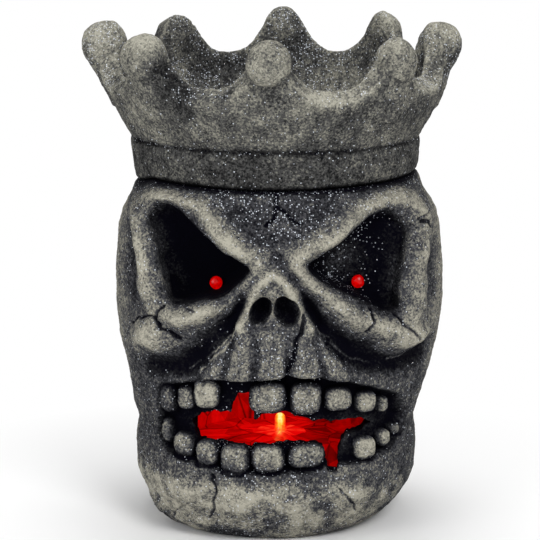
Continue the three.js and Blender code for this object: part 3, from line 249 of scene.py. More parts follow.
# Grain of the cast surface and of the gap's ragged edge: height, size, seed
STONE_GRAIN = ((0.34, 7.0, 1), (0.24, 3.0, 2), (0.16, 1.5, 3))
GAP_GRAIN = ((0.9, 2.6, 5), (0.6, 1.2, 6))
PIT_DEPTH = 0.5
PIT_SHARES = (0.55, 0.8)
CROWN_GRAIN_SHIFT = 300.0

# Grooves round the castings: depth, spread
SKULL_SEAM = (1.6, 1.2)
CROWN_SEAM = (1.0, 1.0)
CROWN_GROOVE = (0.7, 0.8)
GROOVE_FRONT_SHARES = (-0.1, 0.5)

# The castings aren't quite true. A pair holds the two places between which a change comes in.
# Both signs are turned where it comes in downwards.
SEAM_SAG = 0.9
SEAM_SAG_SPREAD = 38.0
SEAM_SAG_REACH = 5.5
SEAM_DROP = 4.4
SEAM_DROP_SIDE = (54.0, 66.0)
SEAM_DROP_REACH = 9.0
HEAD_SHIFT = 1.4
HEAD_SIDE = (45.0, 72.0)
HEAD_LOW = (55.0, 80.0)
HEAD_HIGH = (-164.0, -150.0)
FOOT_SHIFT = 6.5
FOOT_RIM = (42.4, 43.8)
FOOT_SIDE = (2.0, 26.0)
FOOT_FRONT = (0.0, 34.0)
FOOT_HIGH = (-18.0, -6.0)
LEAN_SIDE = (30.0, 82.0)
# How far the crown leans: distance, and the heights between which it comes in
LEANS = ((1.2, (166.0, 180.0)), (3.6, (196.0, 222.0)))

# Boxes of voxels, and how far about a form its voxels are cut
BOX_MARGIN = 1.4
SKULL_BOX = ((-80.0, -84.0, -BOX_MARGIN), (80.0, 82.0, HEIGHT + BOX_MARGIN))
CROWN_BOX = ((-93.0, -93.0, 150.0), (93.0, 93.0, 237.5))
GAP_BOX = ((-45.0, -84.0, 36.0), (50.0, -19.0, 80.0))
SOCKET_ROOM = (45.0, 30.0)
SOCKET_ROOM_DEPTHS = (-84.0, -38.0)
SOCKET_ROOM_TOP = 166.0
LED_ROOM = (5.0, 7.0, 5.0)
LED_ROOM_DEPTH = -43.0
NOSTRIL_ROOM = (9.0, 12.0, 11.0)
TOOTH_ROOM = (12.0, 12.0, 9.0)
BALL_ROOM_BELOW = np.array([24.0, 24.0, 28.0])
BALL_ROOM_ABOVE = np.array([24.0, 24.0, 14.0])
TURN_STEPS = 1536

# Painting of the castings: depths below the smooth head, and distances from an edge
OPENNESS_REACH = 1.4
WALL_GRAIN = (22.0, 18.0)
EDGE_FADE = (0.2, 2.5)
CARVED_DEPTHS = (0.5, 6.5)
DEEP_DEPTHS = (8.0, 14.0)
RECESS_FADE = (-1.0, 2.0)
SOCKET_RIM = (-3.5, 1.5)
LIP_SPREAD = 2.4
GAP_EDGE_SPREAD = 1.6
SEAM_GLINT_SPREAD = 6.0
CRACK_DEPTHS = (0.5, 1.4)

# Crown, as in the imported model: shares of the rise to the rim and of the seam's radius
CROWN_SEAM_RADIUS = 64.6
CROWN_RIM_RISE = 44.2
CROWN_OUTER_SHARES = np.array([
    [0, 1], [0.054, 1.022], [0.18, 1.043], [0.32, 1.056], [0.375, 1.048], [0.43, 1.068],
    [0.59, 1.133], [0.747, 1.189],
])
CROWN_FLARE = 6.4 / 14.0
CROWN_WALL = 9.0
# Rim between the points: middle height over the seam, lift at the back, slope across the wall
RIM_RISE = 44.0
RIM_LIFT = 2.0
RIM_SLOPE = 0.69
RIM_DEPTH_SHARE = 0.75
RIM_ROUNDING = 1.6
BOWL_ROUNDING = 2.0
# Points: how far they rise at the sides, what is added at the back, half-width, how blunt
POINT_RISE = 18.6
POINT_LIFT = 1.2
POINT_SPREAD = 14.6
POINT_BLUNTNESS = 2.3
CROWN_FREE_HEIGHT = 207.0
CROWN_FREE_FLARE = 0.2
CROWN_GROOVE_HEIGHT = 182.6
# Balls on the points: place, radius, radius of the finger under it
CROWN_BALLS = [
    (-1.5, -80.3, 222.9, 10.2, 0.0), (56.8, -57.0, 222.6, 10.4, 8.2), (80.3, 0.5, 223.5, 10.0, 9.2),
    (54.5, 58.5, 224.6, 8.8, 0.0), (2.3, 80.8, 225.8, 8.2, 0.0), (-52.5, 61.5, 221.6, 8.8, 0.0),
    (-80.3, 0.5, 223.3, 10.0, 9.2), (-57.3, -57.3, 223.2, 10.4, 8.2),
]
# Balls before this depth stand clear of the rim, the others melt into it
BALL_FRONT = -20.0
FRONT_BALL_ROUNDING = 0.8
BALL_ROUNDING = 5.0
FINGER_FOOT_RADIUS = 6.4
FINGER_LENGTH = 26.0
FINGER_LEAN = math.atan(0.42)
CROWN_LUMP = 0.9
CROWN_LUMP_HEIGHTS = (196.0, 212.0)
CROWN_GRAIN_RISE = (0.2, 2.0)
# Heights and places between which the crown's paint changes, with signs turned as above
RIM_PAINT_DROPS = (6.0, 1.0)
VALLEY_HEIGHTS = (-214.0, -208.0)
RIGHT_SIDE = (-10.0, 25.0)
BACK_SIDE = (10.0, 40.0)
POINT_HEIGHTS = (200.0, 212.0)
BAND_FADE = (-1.0, 1.0)
TOP_HEIGHTS = (222.0, 232.0)
TOP_SIDE = (30.0, 60.0)
BOWL_PAINT_HEIGHTS = (-203.0, -180.0)
BOWL_DARK_HEIGHTS = (-184.0, -180.0)
FINGER_SIDE = (62.0, 74.0)
GROOVE_PAINT_SPREAD = 0.9
GROOVE_SHADE_SPREAD = 3.0
CROWN_SEAM_PAINT_SPREAD = 1.6
# Painted shade on the front left ball and painted shadow on the wall under it: middle, spread, strength
BALL_PAINTED_SHADES = (((-49.0, -68.0, 218.0), 9.0, 1.3), ((-41.0, -69.0, 209.0), 11.0, 0.9))
BOWL_FLOOR = 160.3
BOWL_SHARES = np.array([[0, 0.603], [0.075, 0.724], [0.25, 0.821], [0.5, 0.903], [0.75, 0.959], [1, 1]])
BOWL_RADIUS = 58.0
BOWL_CURVE = 20.0
BOWL_LIP_RISE = 18.5

# Light emitting diodes and the red film
MOUTH_LED = (2.3, -20.0, 43.7)
LED_FLANGE = (2.9, 1.0)
LED_RADIUS = 2.5
LED_HEIGHT = 8.6
LED_BEVEL = 0.15
LED_TOP_BEVEL = 0.12
LED_BODY_STEP = 0.05
LED_TIP_RADIUS = 0.1
LED_DOME_STEPS = 12
# Glue about an eye light's tip, which glows red with the lens as painted glow: past the socket's floor from
# here to here, how thick, how far in
GLUE_GLOW_RISE = (1.6, 2.4)
GLUE_GLOW_SHARE = 0.34
GLUE_GLOW_NOISE_SHARE = 0.3
GLUE_GLOW_DRAW = 0.8
LINER_MIDDLE = (2.3, -30.0)
LINER_HALVES = (43.0, 38.0)
LINER_FLOOR = 43.5
LINER_TOP = 80.6
LINER_LOW = 31.0
LINER_FRONT = -33.0
LINER_HOLE = 3.05
LINER_THICKNESS = 1.2
LINER_EDGE_SHARE = 0.97
FILM_THICKNESS = 0.3
FILM_STEP = 0.5
FILM_FAR = 90.0
FILM_COLUMNS = 22
FILM_RINGS = 3
FILM_TURN_JITTER = 0.3
FILM_CREASE = 1.6
FILM_LIFT = 0.5
FILM_SINK = 0.6
FILM_FOLD = 3.0
# Painted glow on the film about the mouth light, and painted shade on its right side
FILM_LIGHT_HEIGHT = 5.0
FILM_LIGHT_SPREAD = 13.0
FILM_SHADE_SIDE = (7.0, 20.0)

# Sizes in the materials' patterns, and depths of their bumps
SPECK_SIZE = 0.8
STONE_PATCH_SIZE = 7.0
SAND_SIZE = 0.85
FINE_PIT_SIZE = 1.6
FLAKE_SIZE = 0.78
STONE_BUMP = 0.5
WIDE_LUMP_SIZE = 8.0
STREAK_SIZE = 3.0
STREAK_BUMP = 0.3
CREASE_SIZE = 19.0
# Place and reach of the painted reflection of the mouth light on the film
GLOW_FORWARD = 5.0
GLOW_REACH = 2.6
CLOUD_SIZE = 1.6
GLOW_LUMP_SIZE = 1.4
CORE_REACH = (0.7, 2.5)
CORE_HEIGHTS = (1.0, 6.0)

# Room, in metres: lights by name with place, aim, size and power
LIGHTS = [
    ("key", (0.45, -1.0, 0.85), (0, 0, 0.12), 0.5, 9.0),
    ("fill", (-0.8, -0.9, 0.45), (0, 0, 0.12), 0.7, 5.0),
    ("top", (0.0, 0.25, 1.2), (0, 0, 0.2), 0.6, 5.0),
]
WORLD_STRENGTH = 0.55
FLOOR_SIZE = 6.0
FLOOR_CUTS = 8
FLOOR_FADE = (0.09, 0.22)
CAMERA_AZIMUTH = math.radians(1.5)
CAMERA_ELEVATION = math.radians(11.0)
CAMERA_DISTANCE = 1.1
CAMERA_TARGET = (-0.003, 0.0, 0.117)
CAMERA_SENSOR = 36.0
CAMERA_LENS = 154.4
WHITE = (1, 1, 1, 1)

CORNERS = list(product((0, 1), repeat=3))


# Numbers

def smoothstep(value, low, high):
    part = np.clip((value - low) / (high - low), 0, 1)
    return part * part * (3 - 2 * part)


def soft_min(a, b, reach):
    """The smaller of two depths, rounded where they are within this reach of each other."""
    mix = np.clip(0.5 + 0.5 * (b - a) / reach, 0, 1)
    return b * (1 - mix) + a * mix - reach * mix * (1 - mix)


def soft_max(a, b, reach):
    return -soft_min(-a, -b, reach)


def noise(points, size, seed):
    """Smooth noise from -1 to 1, with lumps of about this size."""
    scaled = points / size
    cell = np.floor(scaled).astype(np.int64)
    part = scaled - cell
    part = part * part * (3 - 2 * part)
    total = np.zeros(len(points))
    for corner in CORNERS:
        at = cell + corner
        mixed = (at[:, 0] * 73856093) ^ (at[:, 1] * 19349663) ^ (at[:, 2] * 83492791) ^ (seed * 2654435)
        mixed = ((mixed ^ (mixed >> 13)) * 1274126177) & 0xFFFFFFFF
        value = ((mixed ^ (mixed >> 16)) & 0xFFFF) / 32768.0 - 1
        weight = np.prod(np.abs(1 - np.array(corner) - part), axis=1)
        total += weight * value
    return total


def on_face(shares):
    return np.array(shares, float) * (HALF_WIDTH, HEIGHT)


def rounded(points, closed, steps=5):
    """A smooth curve through the same points."""
    points = np.array(points, float)
    count = len(points)
    pick = (lambda i: points[i % count]) if closed else (lambda i: points[min(max(i, 0), count - 1)])
    line = []
    for i in range(count if closed else count - 1):
        a, b, c, d = pick(i - 1), pick(i), pick(i + 1), pick(i + 2)
        for t in np.arange(steps) / steps:
            line.append(0.5 * (2 * b + (c - a) * t + (2 * a - 5 * b + 4 * c - d) * t ** 2
                               + (3 * b - a - 3 * c + d) * t ** 3))
    if not closed:
        line.append(points[-1])
    return np.array(line)


def distance_to_line(x, z, line, closed=False):
    ends = np.roll(line, -1, axis=0) if closed else line[1:]
    nearest = np.full(np.broadcast(x, z).shape, np.inf)
    for (ax, az), (bx, bz) in zip(line, ends):
        run = (bx - ax) ** 2 + (bz - az) ** 2
        along = np.clip(((x - ax) * (bx - ax) + (z - az) * (bz - az)) / run, 0, 1)
        away = (x - ax - along * (bx - ax)) ** 2 + (z - az - along * (bz - az)) ** 2
        nearest = np.minimum(nearest, away)
    return np.sqrt(nearest)


def depth_inside(x, z, outline):
    """Distance to a closed outline, above zero inside it."""
    within = np.zeros(np.broadcast(x, z).shape, bool)
    for (ax, az), (bx, bz) in zip(outline, np.roll(outline, 1, axis=0)):
        if az != bz:
            crossing = ((az > z) != (bz > z)) & (x < (bx - ax) * (z - az) / (bz - az) + ax)
            within ^= crossing
    edge = distance_to_line(x, z, outline, True)
    return np.where(within, edge, -edge)


def swell(distance, spread):
    return np.exp(-((distance / spread) ** 2))


def face_noise(x, z, size, seed):
    """The same noise over the face, for a row of places across and a row of heights."""
    across, up = np.broadcast_arrays(x, z)
    points = np.stack([across.ravel(), np.zeros(across.size), up.ravel()], 1)
    return noise(points, size, seed).reshape(across.shape)


class FaceMap:
    """A number for each place on the face, worked out once and read back smoothly."""

    step = 0.5
    low = (-92.0, -6.0)
    high = (92.0, 174.0)

    def __init__(self, make):
        x = np.arange(self.low[0], self.high[0], self.step)[:, None]
        z = np.arange(self.low[1], self.high[1], self.step)[None, :]
        self.values = make(x, z).astype(np.float32)

    def at(self, x, z):
        i = np.clip((x - self.low[0]) / self.step, 0, self.values.shape[0] - 1.001)
        k = np.clip((z - self.low[1]) / self.step, 0, self.values.shape[1] - 1.001)
        i, k = np.broadcast_arrays(i, k)
        i0, k0 = i.astype(int), k.astype(int)
        a, b = i - i0, k - k0
        v = self.values
        return ((v[i0, k0] * (1 - a) + v[i0 + 1, k0] * a) * (1 - b)
                + (v[i0, k0 + 1] * (1 - a) + v[i0 + 1, k0 + 1] * a) * b)


# Carving of the face

def rough_line(shares, rng):
    """A crack's line, broken into short steps that wander."""
    points = on_face(shares)
    line = [points[0]]
    for a, b in zip(points, points[1:]):
        steps = max(1, round(np.hypot(*(b - a)) / CRACK_STEP))
        for i in range(1, steps + 1):
            line.append(a + (b - a) * i / steps + rng.uniform(-CRACK_JITTER, CRACK_JITTER, 2))
    return np.array(line)


def lump_heights(x, z, lumps):
    places, height, spread = lumps
    return [height * swell(np.hypot(x - px, z - pz), spread) for px, pz in on_face(places)]


def bones(x, z):
    """Height of the raised bones over the smooth head, with edges that wander."""
    across, up = face_noise(x, z, *WANDER_ACROSS_NOISE), face_noise(x, z, *WANDER_UP_NOISE)
    x, z = x + WANDER * across, z + WANDER * up
    nose_away = distance_to_line(x, z, on_face(NOSE_RIDGE_SHARES))
    raised = [NOSE_RIDGE_HEIGHT * swell(nose_away, NOSE_RIDGE_SPREAD)]
    for ridge in (LEFT_RIDGE_SHARES, RIGHT_RIDGE_SHARES):
        away = distance_to_line(x, z, rounded(on_face(ridge), True), True)
        raised.append(RIDGE_HEIGHT * swell(away, RIDGE_SPREAD))
    raised += lump_heights(x, z, CHEEKS) + lump_heights(x, z, NOSE_BRIDGE) + lump_heights(x, z, CHIN)
    uneven = 1 + UNEVEN_SHARE * face_noise(x, z, *UNEVEN_NOISE)
    return uneven * np.cbrt(sum(bone ** 3 for bone in raised))


def roots(x, z):
    """Height of the swellings over the upper teeth."""
    lines = [distance_to_line(x, z, on_face(root)) for root in ROOT_SHARES]
    return sum(ROOT_HEIGHT * np.exp(-((away / ROOT_SPREAD) ** 4)) for away in lines)


def line_depths(x, z, kinds):
    """Depth of the hollows or grooves that run along lines."""
    return sum(
        sum(deep * swell(distance_to_line(x, z, on_face(line)), spread) for line in lines)
        for lines, deep, spread in kinds
    )


def relief(x, z):
    height = bones(x, z) * smoothstep(HEIGHT - z, *BONE_FADE)
    height = height + sum(lump_heights(x, z, MUZZLE)) + roots(x, z)
    height = height - line_depths(x, z, HOLLOWS) - line_depths(x, z, GROOVES)
    sunk = smoothstep(depth_inside(x, z, on_face(MOUTH_RECESS_SHARES)), -RECESS_SLOPE / 2, RECESS_SLOPE / 2)
    return height * (1 - sunk) - RECESS_DEPTH * sunk


def cracks(x, z):
    rng = np.random.default_rng(SEED)
    depth = np.zeros(np.broadcast(x, z).shape)
    for shares, half_width, deep in CRACKS:
        depth = np.maximum(depth, deep * swell(distance_to_line(x, z, rough_line(shares, rng)), half_width))
    return depth


def scratches(x, z):
    rng = np.random.default_rng(SEED)
    lines = [rough_line(shares, rng) for shares in SCRATCH_SHARES]
    return np.maximum.reduce([swell(distance_to_line(x, z, line), SCRATCH_HALF_WIDTH) for line in lines])


def tooth_tones(x, z):
    """How pale each tooth is, darker towards its edge, with painted shade on its lower part."""
    tone = np.zeros(np.broadcast(x, z).shape)
    for x_share, z_share, width, height, shade in TEETH:
        middle_x, middle_z = on_face((x_share, z_share))
        across, up = 2 * np.abs(x - middle_x) / width, 2 * np.abs(z - middle_z) / height
        edge = np.cbrt(across ** 3 + up ** 3)
        # Painted shade: each tooth is darker on its lower part, as under light from above
        low = smoothstep((middle_z - z) / height, 0.0, 0.5)
        tone += (edge < 1.1) * (shade + 0.75 - 1.5 * smoothstep(edge, 0.66, 1.08) - 0.6 * low)
    return tone


relief_map = FaceMap(relief)
bone_map = FaceMap(lambda x, z: bones(x, z) + roots(x, z))
hollow_map = FaceMap(lambda x, z: 0.85 * line_depths(x, z, HOLLOWS) + 2.1 * line_depths(x, z, GROOVES))
crack_map = FaceMap(cracks)
scratch_map = FaceMap(scratches)
nose_map = FaceMap(lambda x, z: swell(distance_to_line(x, z, on_face(NOSE_RIDGE_SHARES)), NOSE_EDGE_SPREAD))
tooth_map = FaceMap(tooth_tones)
recess_map = FaceMap(lambda x, z: depth_inside(x, z, on_face(MOUTH_RECESS_SHARES)))
gap_map = FaceMap(lambda x, z: depth_inside(x, z, on_face(MOUTH_GAP_SHARES)))
socket_maps = [
    FaceMap(lambda x, z, line=line: depth_inside(x, z, rounded(on_face(line), True)))
    for line in (LEFT_SOCKET_SHARES, RIGHT_SOCKET_SHARES)
]


def skull_radius(angle, z):
    share = z / HEIGHT
    half_width = np.interp(share, PROFILE_SHARES[:, 0], PROFILE_SHARES[:, 1]) * HALF_WIDTH
    front = np.interp(share, PROFILE_SHARES[:, 0], PROFILE_SHARES[:, 2]) * HALF_WIDTH
    back = np.interp(share, PROFILE_SHARES[:, 0], PROFILE_SHARES[:, 3]) * HALF_WIDTH
    depth = np.where(np.cos(angle) > 0, front, back)
    roundness = np.interp(share, [0, FOOT_SHARE], [FOOT_ROUNDNESS, ROUNDNESS])
    across = (np.abs(np.sin(angle)) / half_width) ** roundness
    along = (np.abs(np.cos(angle)) / depth) ** roundness
    return (across + along) ** (-1 / roundness)


def facing(angle):
    return smoothstep(np.cos(angle), 0, FACING_SHARE)


# Voxels

class Block:
    """A box of voxels."""

    def __init__(self, low, high, step):
        self.low = np.array(low, float)
        self.step = step
        counts = np.ceil((np.array(high) - self.low) / step).astype(int) + 1
        self.axes = [(self.low[i] + step * np.arange(counts[i])).astype(np.float32) for i in range(3)]
        self.x, self.y, self.z = np.ix_(*self.axes)

    def part(self, low, high):
        """Slices of the voxels between two corners, and their places."""
        cuts = tuple(slice(*np.searchsorted(self.axes[i], (low[i], high[i]))) for i in range(3))
        return cuts, np.ix_(*(self.axes[i][cuts[i]] for i in range(3)))

    def around(self, middle, reach):
        """The same for a room about a place."""
        return self.part(np.array(middle) - reach, np.array(middle) + reach)

    def sample(self, field, points, stride):
        """Values at places of a field that has one voxel for this many of the block's."""
        at = (points - self.low) / (self.step * stride)
        low = np.clip(np.floor(at).astype(int), 0, np.array(field.shape) - 2)
        part = np.clip(at - low, 0, 1)
        total = np.zeros(len(points))
        for corner in CORNERS:
            i, k, m = (low + corner).T
            total += np.prod(np.abs(1 - np.array(corner) - part), axis=1) * field[i, k, m]
        return total


def turned(table, angles):
    """A table over angle and height, read at each voxel's angle."""
    place = (angles + math.pi) / (2 * math.pi) * len(table)
    low = np.floor(place).astype(int)
    part = (place - low)[..., None].astype(np.float32)
    return table[low % len(table)] * (1 - part) + table[(low + 1) % len(table)] * part


def blurred(field, reach):
    """The field averaged softly over about this many voxels each way."""
    for _ in range(3):
        for axis in range(3):
            edges = [(0, 0)] * 3
            edges[axis] = (reach + 1, reach)
            run = np.cumsum(np.pad(field, edges, mode="edge"), axis=axis, dtype=np.float64)
            run = np.moveaxis(run, axis, 0)
            width = 2 * reach + 1
            field = np.moveaxis((run[width:] - run[:-width]) / width, 0, axis).astype(np.float32)
    return field


def skin_of(block, depth):
    """Points and faces of the surface where the depth is zero."""
    band = 3 * block.step
    grid = vdb.FloatGrid(band)
    grid.copyFromArray(np.clip(-depth, -band, band).astype(np.float32))
    points, triangles, quads = grid.convertToPolygons(isovalue=0.0, adaptivity=0.0)
    return block.low + block.step * points.astype(float), triangles, quads


def mesh_of(name, points, triangles, quads, smooth=True):
    mesh = bpy.data.meshes.new(name)
    mesh.vertices.add(len(points))
    mesh.vertices.foreach_set("co", (points * MM).astype(np.float32).ravel())
    corners = np.concatenate([np.asarray(triangles).ravel(), np.asarray(quads).ravel()]).astype(np.int32)
    starts = np.concatenate([
        3 * np.arange(len(triangles)),
        3 * len(triangles) + 4 * np.arange(len(quads)),
    ]).astype(np.int32)
    mesh.loops.add(len(corners))
    mesh.loops.foreach_set("vertex_index", corners)
    mesh.polygons.add(len(starts))
    mesh.polygons.foreach_set("loop_start", starts)
    mesh.polygons.foreach_set("use_smooth", np.full(len(starts), smooth))
    mesh.update(calc_edges=True)
    mesh.validate()
    piece = bpy.data.objects.new(name, mesh)
    bpy.context.scene.collection.objects.link(piece)
    return piece


def normals_of(piece):
    found = np.zeros(3 * len(piece.data.vertices), np.float32)
    piece.data.vertices.foreach_get("normal", found)
    return found.reshape(-1, 3).astype(float)


def put_points(piece, points):
    piece.data.vertices.foreach_set("co", (points * MM).astype(np.float32).ravel())
    piece.data.update()


def put_values(piece, name, values):
    layer = piece.data.attributes.new(name, "FLOAT", "POINT")
    layer.data.foreach_set("value", np.asarray(values, np.float32))


def stone_noise(points):
    """How far the cast surface stands proud of its smooth form."""
    grain = sum(height * noise(points, size, seed) for height, size, seed in STONE_GRAIN)
    return grain - PIT_DEPTH * smoothstep(noise(points, *PIT_NOISE), *PIT_SHARES)


def settled(points):
    """Places as the castings came out: the seam sags, the foot stands out and the crown leans."""
    x, y, z = points.T
    low = z - SEAM_SAG * swell(x, SEAM_SAG_SPREAD) * swell(z - CROWN_BASE, SEAM_SAG_REACH)
    low -= SEAM_DROP * smoothstep(-x, *SEAM_DROP_SIDE) * swell(z - CROWN_BASE, SEAM_DROP_REACH)
    shift = HEAD_SHIFT * smoothstep(np.abs(x), *HEAD_SIDE) * smoothstep(z, *HEAD_LOW)
    shift = shift * smoothstep(-z, *HEAD_HIGH)
    foot = FOOT_SHIFT * smoothstep(np.hypot(x, y), *FOOT_RIM) * smoothstep(-x, *FOOT_SIDE)
    shift -= foot * smoothstep(-y, *FOOT_FRONT) * smoothstep(-z, *FOOT_HIGH)
    lean = smoothstep(x, *LEAN_SIDE) * sum(far * smoothstep(z, *heights) for far, heights in LEANS)
    return np.stack([x + shift - lean, y, low], 1)


def openness(block, solid, points):
    """Above zero on ridges and below zero in hollows, at a fine and at a wide scale."""
    coarse = np.clip(solid[::2, ::2, ::2] / (2 * block.step) + 0.5, 0, 1)
    reach = max(1, round(OPENNESS_REACH / block.step / 2))
    fine = 0.5 - block.sample(blurred(coarse, reach), points, 2)
    wide = 0.5 - block.sample(blurred(coarse, 3 * reach), points, 2)
    return fine, wide


# Skull

def socket_depth(index, x, y, z, margin):
    """How deep places lie inside an eye socket's hollow."""
    middle_x, middle_z = on_face(SOCKET_MIDDLE_SHARES[index])
    size = np.interp(-y / HALF_WIDTH, SOCKET_TAPER_SHARES[:, 0], SOCKET_TAPER_SHARES[:, 1])
    flat_x = middle_x + (x - middle_x) / size
    flat_z = middle_z + (z - middle_z) / size
    side = socket_maps[index].at(flat_x, flat_z) * size + margin
    return np.minimum(side, -y - SOCKET_FLOOR + margin)


def skull_depths(block):
    """Depth below the surface at each voxel, without and with the hollow inside."""
    angles = np.linspace(-math.pi, math.pi, TURN_STEPS, endpoint=False)[:, None]
    heights = block.axes[2][None, :].astype(float)
    inside_heights = np.clip(heights, 0, HEIGHT)
    smooth = skull_radius(angles, inside_heights)
    across = smooth * np.sin(angles)
    carved = smooth + facing(angles) * relief_map.at(across, heights)
    inner = np.minimum(smooth, carved) - WALL
    seam_depth, seam_spread = SKULL_SEAM
    seam = seam_depth * swell(HEIGHT - heights, seam_spread)
    outer = carved - facing(angles) * crack_map.at(across, heights) - seam
    turn = np.arctan2(block.x, -block.y)[:, :, 0]
    radius = np.hypot(block.x, block.y)
    solid = turned(outer.astype(np.float32), turn) - radius
    hollow = turned(inner.astype(np.float32), turn) - radius
    hollow = np.minimum(hollow, np.minimum(block.z - CAVITY_FLOOR, CAVITY_CEILING - block.z))
    for index, (middle_x, middle_z) in enumerate(on_face(SOCKET_MIDDLE_SHARES)):
        low = (middle_x - SOCKET_ROOM[0], SOCKET_ROOM_DEPTHS[0], middle_z - SOCKET_ROOM[1])
        cuts, (x, y, z) = block.part(low, (middle_x + SOCKET_ROOM[0], SOCKET_ROOM_DEPTHS[1], SOCKET_ROOM_TOP))
        solid[cuts] = soft_min(solid[cuts], -socket_depth(index, x, y, z, 0), SOCKET_ROUNDING)
        hollow[cuts] = np.minimum(hollow[cuts], -socket_depth(index, x, y, z, SOCKET_WALL))
        led_x, led_z = on_face(EYE_LED_SHARES[index])
        cuts, (x, y, z) = block.around((led_x, LED_ROOM_DEPTH, led_z), LED_ROOM)
        hole = LED_RADIUS + GAP - np.hypot(x - led_x, z - led_z) + 0 * y
        solid[cuts] = np.minimum(solid[cuts], -hole)
    for at, lean, half_width, half_height in NOSTRILS:
        middle_x, middle_z = on_face(at)
        middle_y = -float(skull_radius(0, middle_z) + relief_map.at(middle_x, middle_z))
        cuts, (x, y, z) = block.around((middle_x, middle_y, middle_z), NOSTRIL_ROOM)
        dx, dz = x - middle_x, z - middle_z
        u = (dx * math.cos(lean) - dz * math.sin(lean)) / half_width
        w = (dx * math.sin(lean) + dz * math.cos(lean)) / half_height
        v = (y - middle_y) / NOSTRIL_DEPTH
        pit = (1 - np.sqrt(u * u + v * v + w * w)) * half_width
        solid[cuts] = soft_min(solid[cuts], -pit, NOSTRIL_ROUNDING)
    cuts, (x, y, z) = block.part(*GAP_BOX)
    gap = gap_map.at(x, z)
    for height, size, seed in GAP_GRAIN:
        gap = gap + height * face_noise(x, z, size, seed)
    solid[cuts] = soft_min(solid[cuts], -(gap + 0 * y), GAP_ROUNDING)
    for tooth in TEETH:
        add_tooth(block, solid, hollow, *tooth[:4])
    flats = np.minimum(PLATE_SEAT_RADIUS - radius, LEDGE_HEIGHT - block.z)
    flats = np.maximum(flats, np.minimum(BASE_OPENING_RADIUS - radius, CAVITY_FLOOR + OVERRUN - block.z))
    flats = np.maximum(flats, np.minimum(SPIGOT_RADIUS + GAP - radius, block.z - SPIGOT_BOTTOM + OVERRUN))
    capped = np.minimum(solid, np.minimum(block.z, HEIGHT - block.z))
    return solid, np.minimum(capped, -np.maximum(hollow, flats))


def add_tooth(block, solid, hollow, x_share, z_share, width, height):
    middle_x, middle_z = on_face((x_share, z_share))
    angle = math.asin(middle_x / skull_radius(0, middle_z))
    reach = float(skull_radius(angle, middle_z)) + TOOTH_PROUD - TOOTH_DEPTH / 2
    at_x, at_y = reach * math.sin(angle), -reach * math.cos(angle)
    cuts, (x, y, z) = block.around((at_x, at_y, middle_z), TOOTH_ROOM)
    along = (x - at_x) * math.cos(angle) + (y - at_y) * math.sin(angle)
    outward = (x - at_x) * math.sin(angle) - (y - at_y) * math.cos(angle)
    side, edge = TOOTH_FACE_SQUARENESS, TOOTH_EDGE_SQUARENESS
    across_share = np.abs(along) / (width / 2)
    up_share = np.abs(z - middle_z) / (height / 2)
    face = (across_share ** side + up_share ** side) ** (1 / side)
    whole = (face ** edge + (np.abs(outward) / (TOOTH_DEPTH / 2)) ** edge) ** (1 / edge)
    depth = (1 - whole) * min(width, height, TOOTH_DEPTH) / 2
    solid[cuts] = soft_max(solid[cuts], depth, TOOTH_ROUNDING)
    hollow[cuts] = np.minimum(hollow[cuts], -depth)


def make_skull():
    block = Block(*SKULL_BOX, VOXEL)
    solid, cast = skull_depths(block)
    points, triangles, quads = skin_of(block, cast)
    piece = mesh_of("skull_stone_casting", points, triangles, quads)
    angle = np.arctan2(points[:, 0], -points[:, 1])
    radius = np.hypot(points[:, 0], points[:, 1])
    z = points[:, 2]
    smooth = skull_radius(angle, np.clip(z, 0, HEIGHT))
    across = smooth * np.sin(angle)
    seen = smoothstep(radius, smooth - WALL_GRAIN[0], smooth - WALL_GRAIN[1]) * smoothstep(z, *EDGE_FADE)
    seen = seen * smoothstep(HEIGHT - z, *EDGE_FADE) * (radius > PLATE_SEAT_RADIUS + OVERRUN)
    points = points + normals_of(piece) * (seen * stone_noise(points))[:, None]
    put_points(piece, points)
    fine, wide = openness(block, solid, points)
    paint_skull(piece, points, fine, wide, angle, across, z, smooth - radius)
    put_points(piece, settled(points))
    return piece


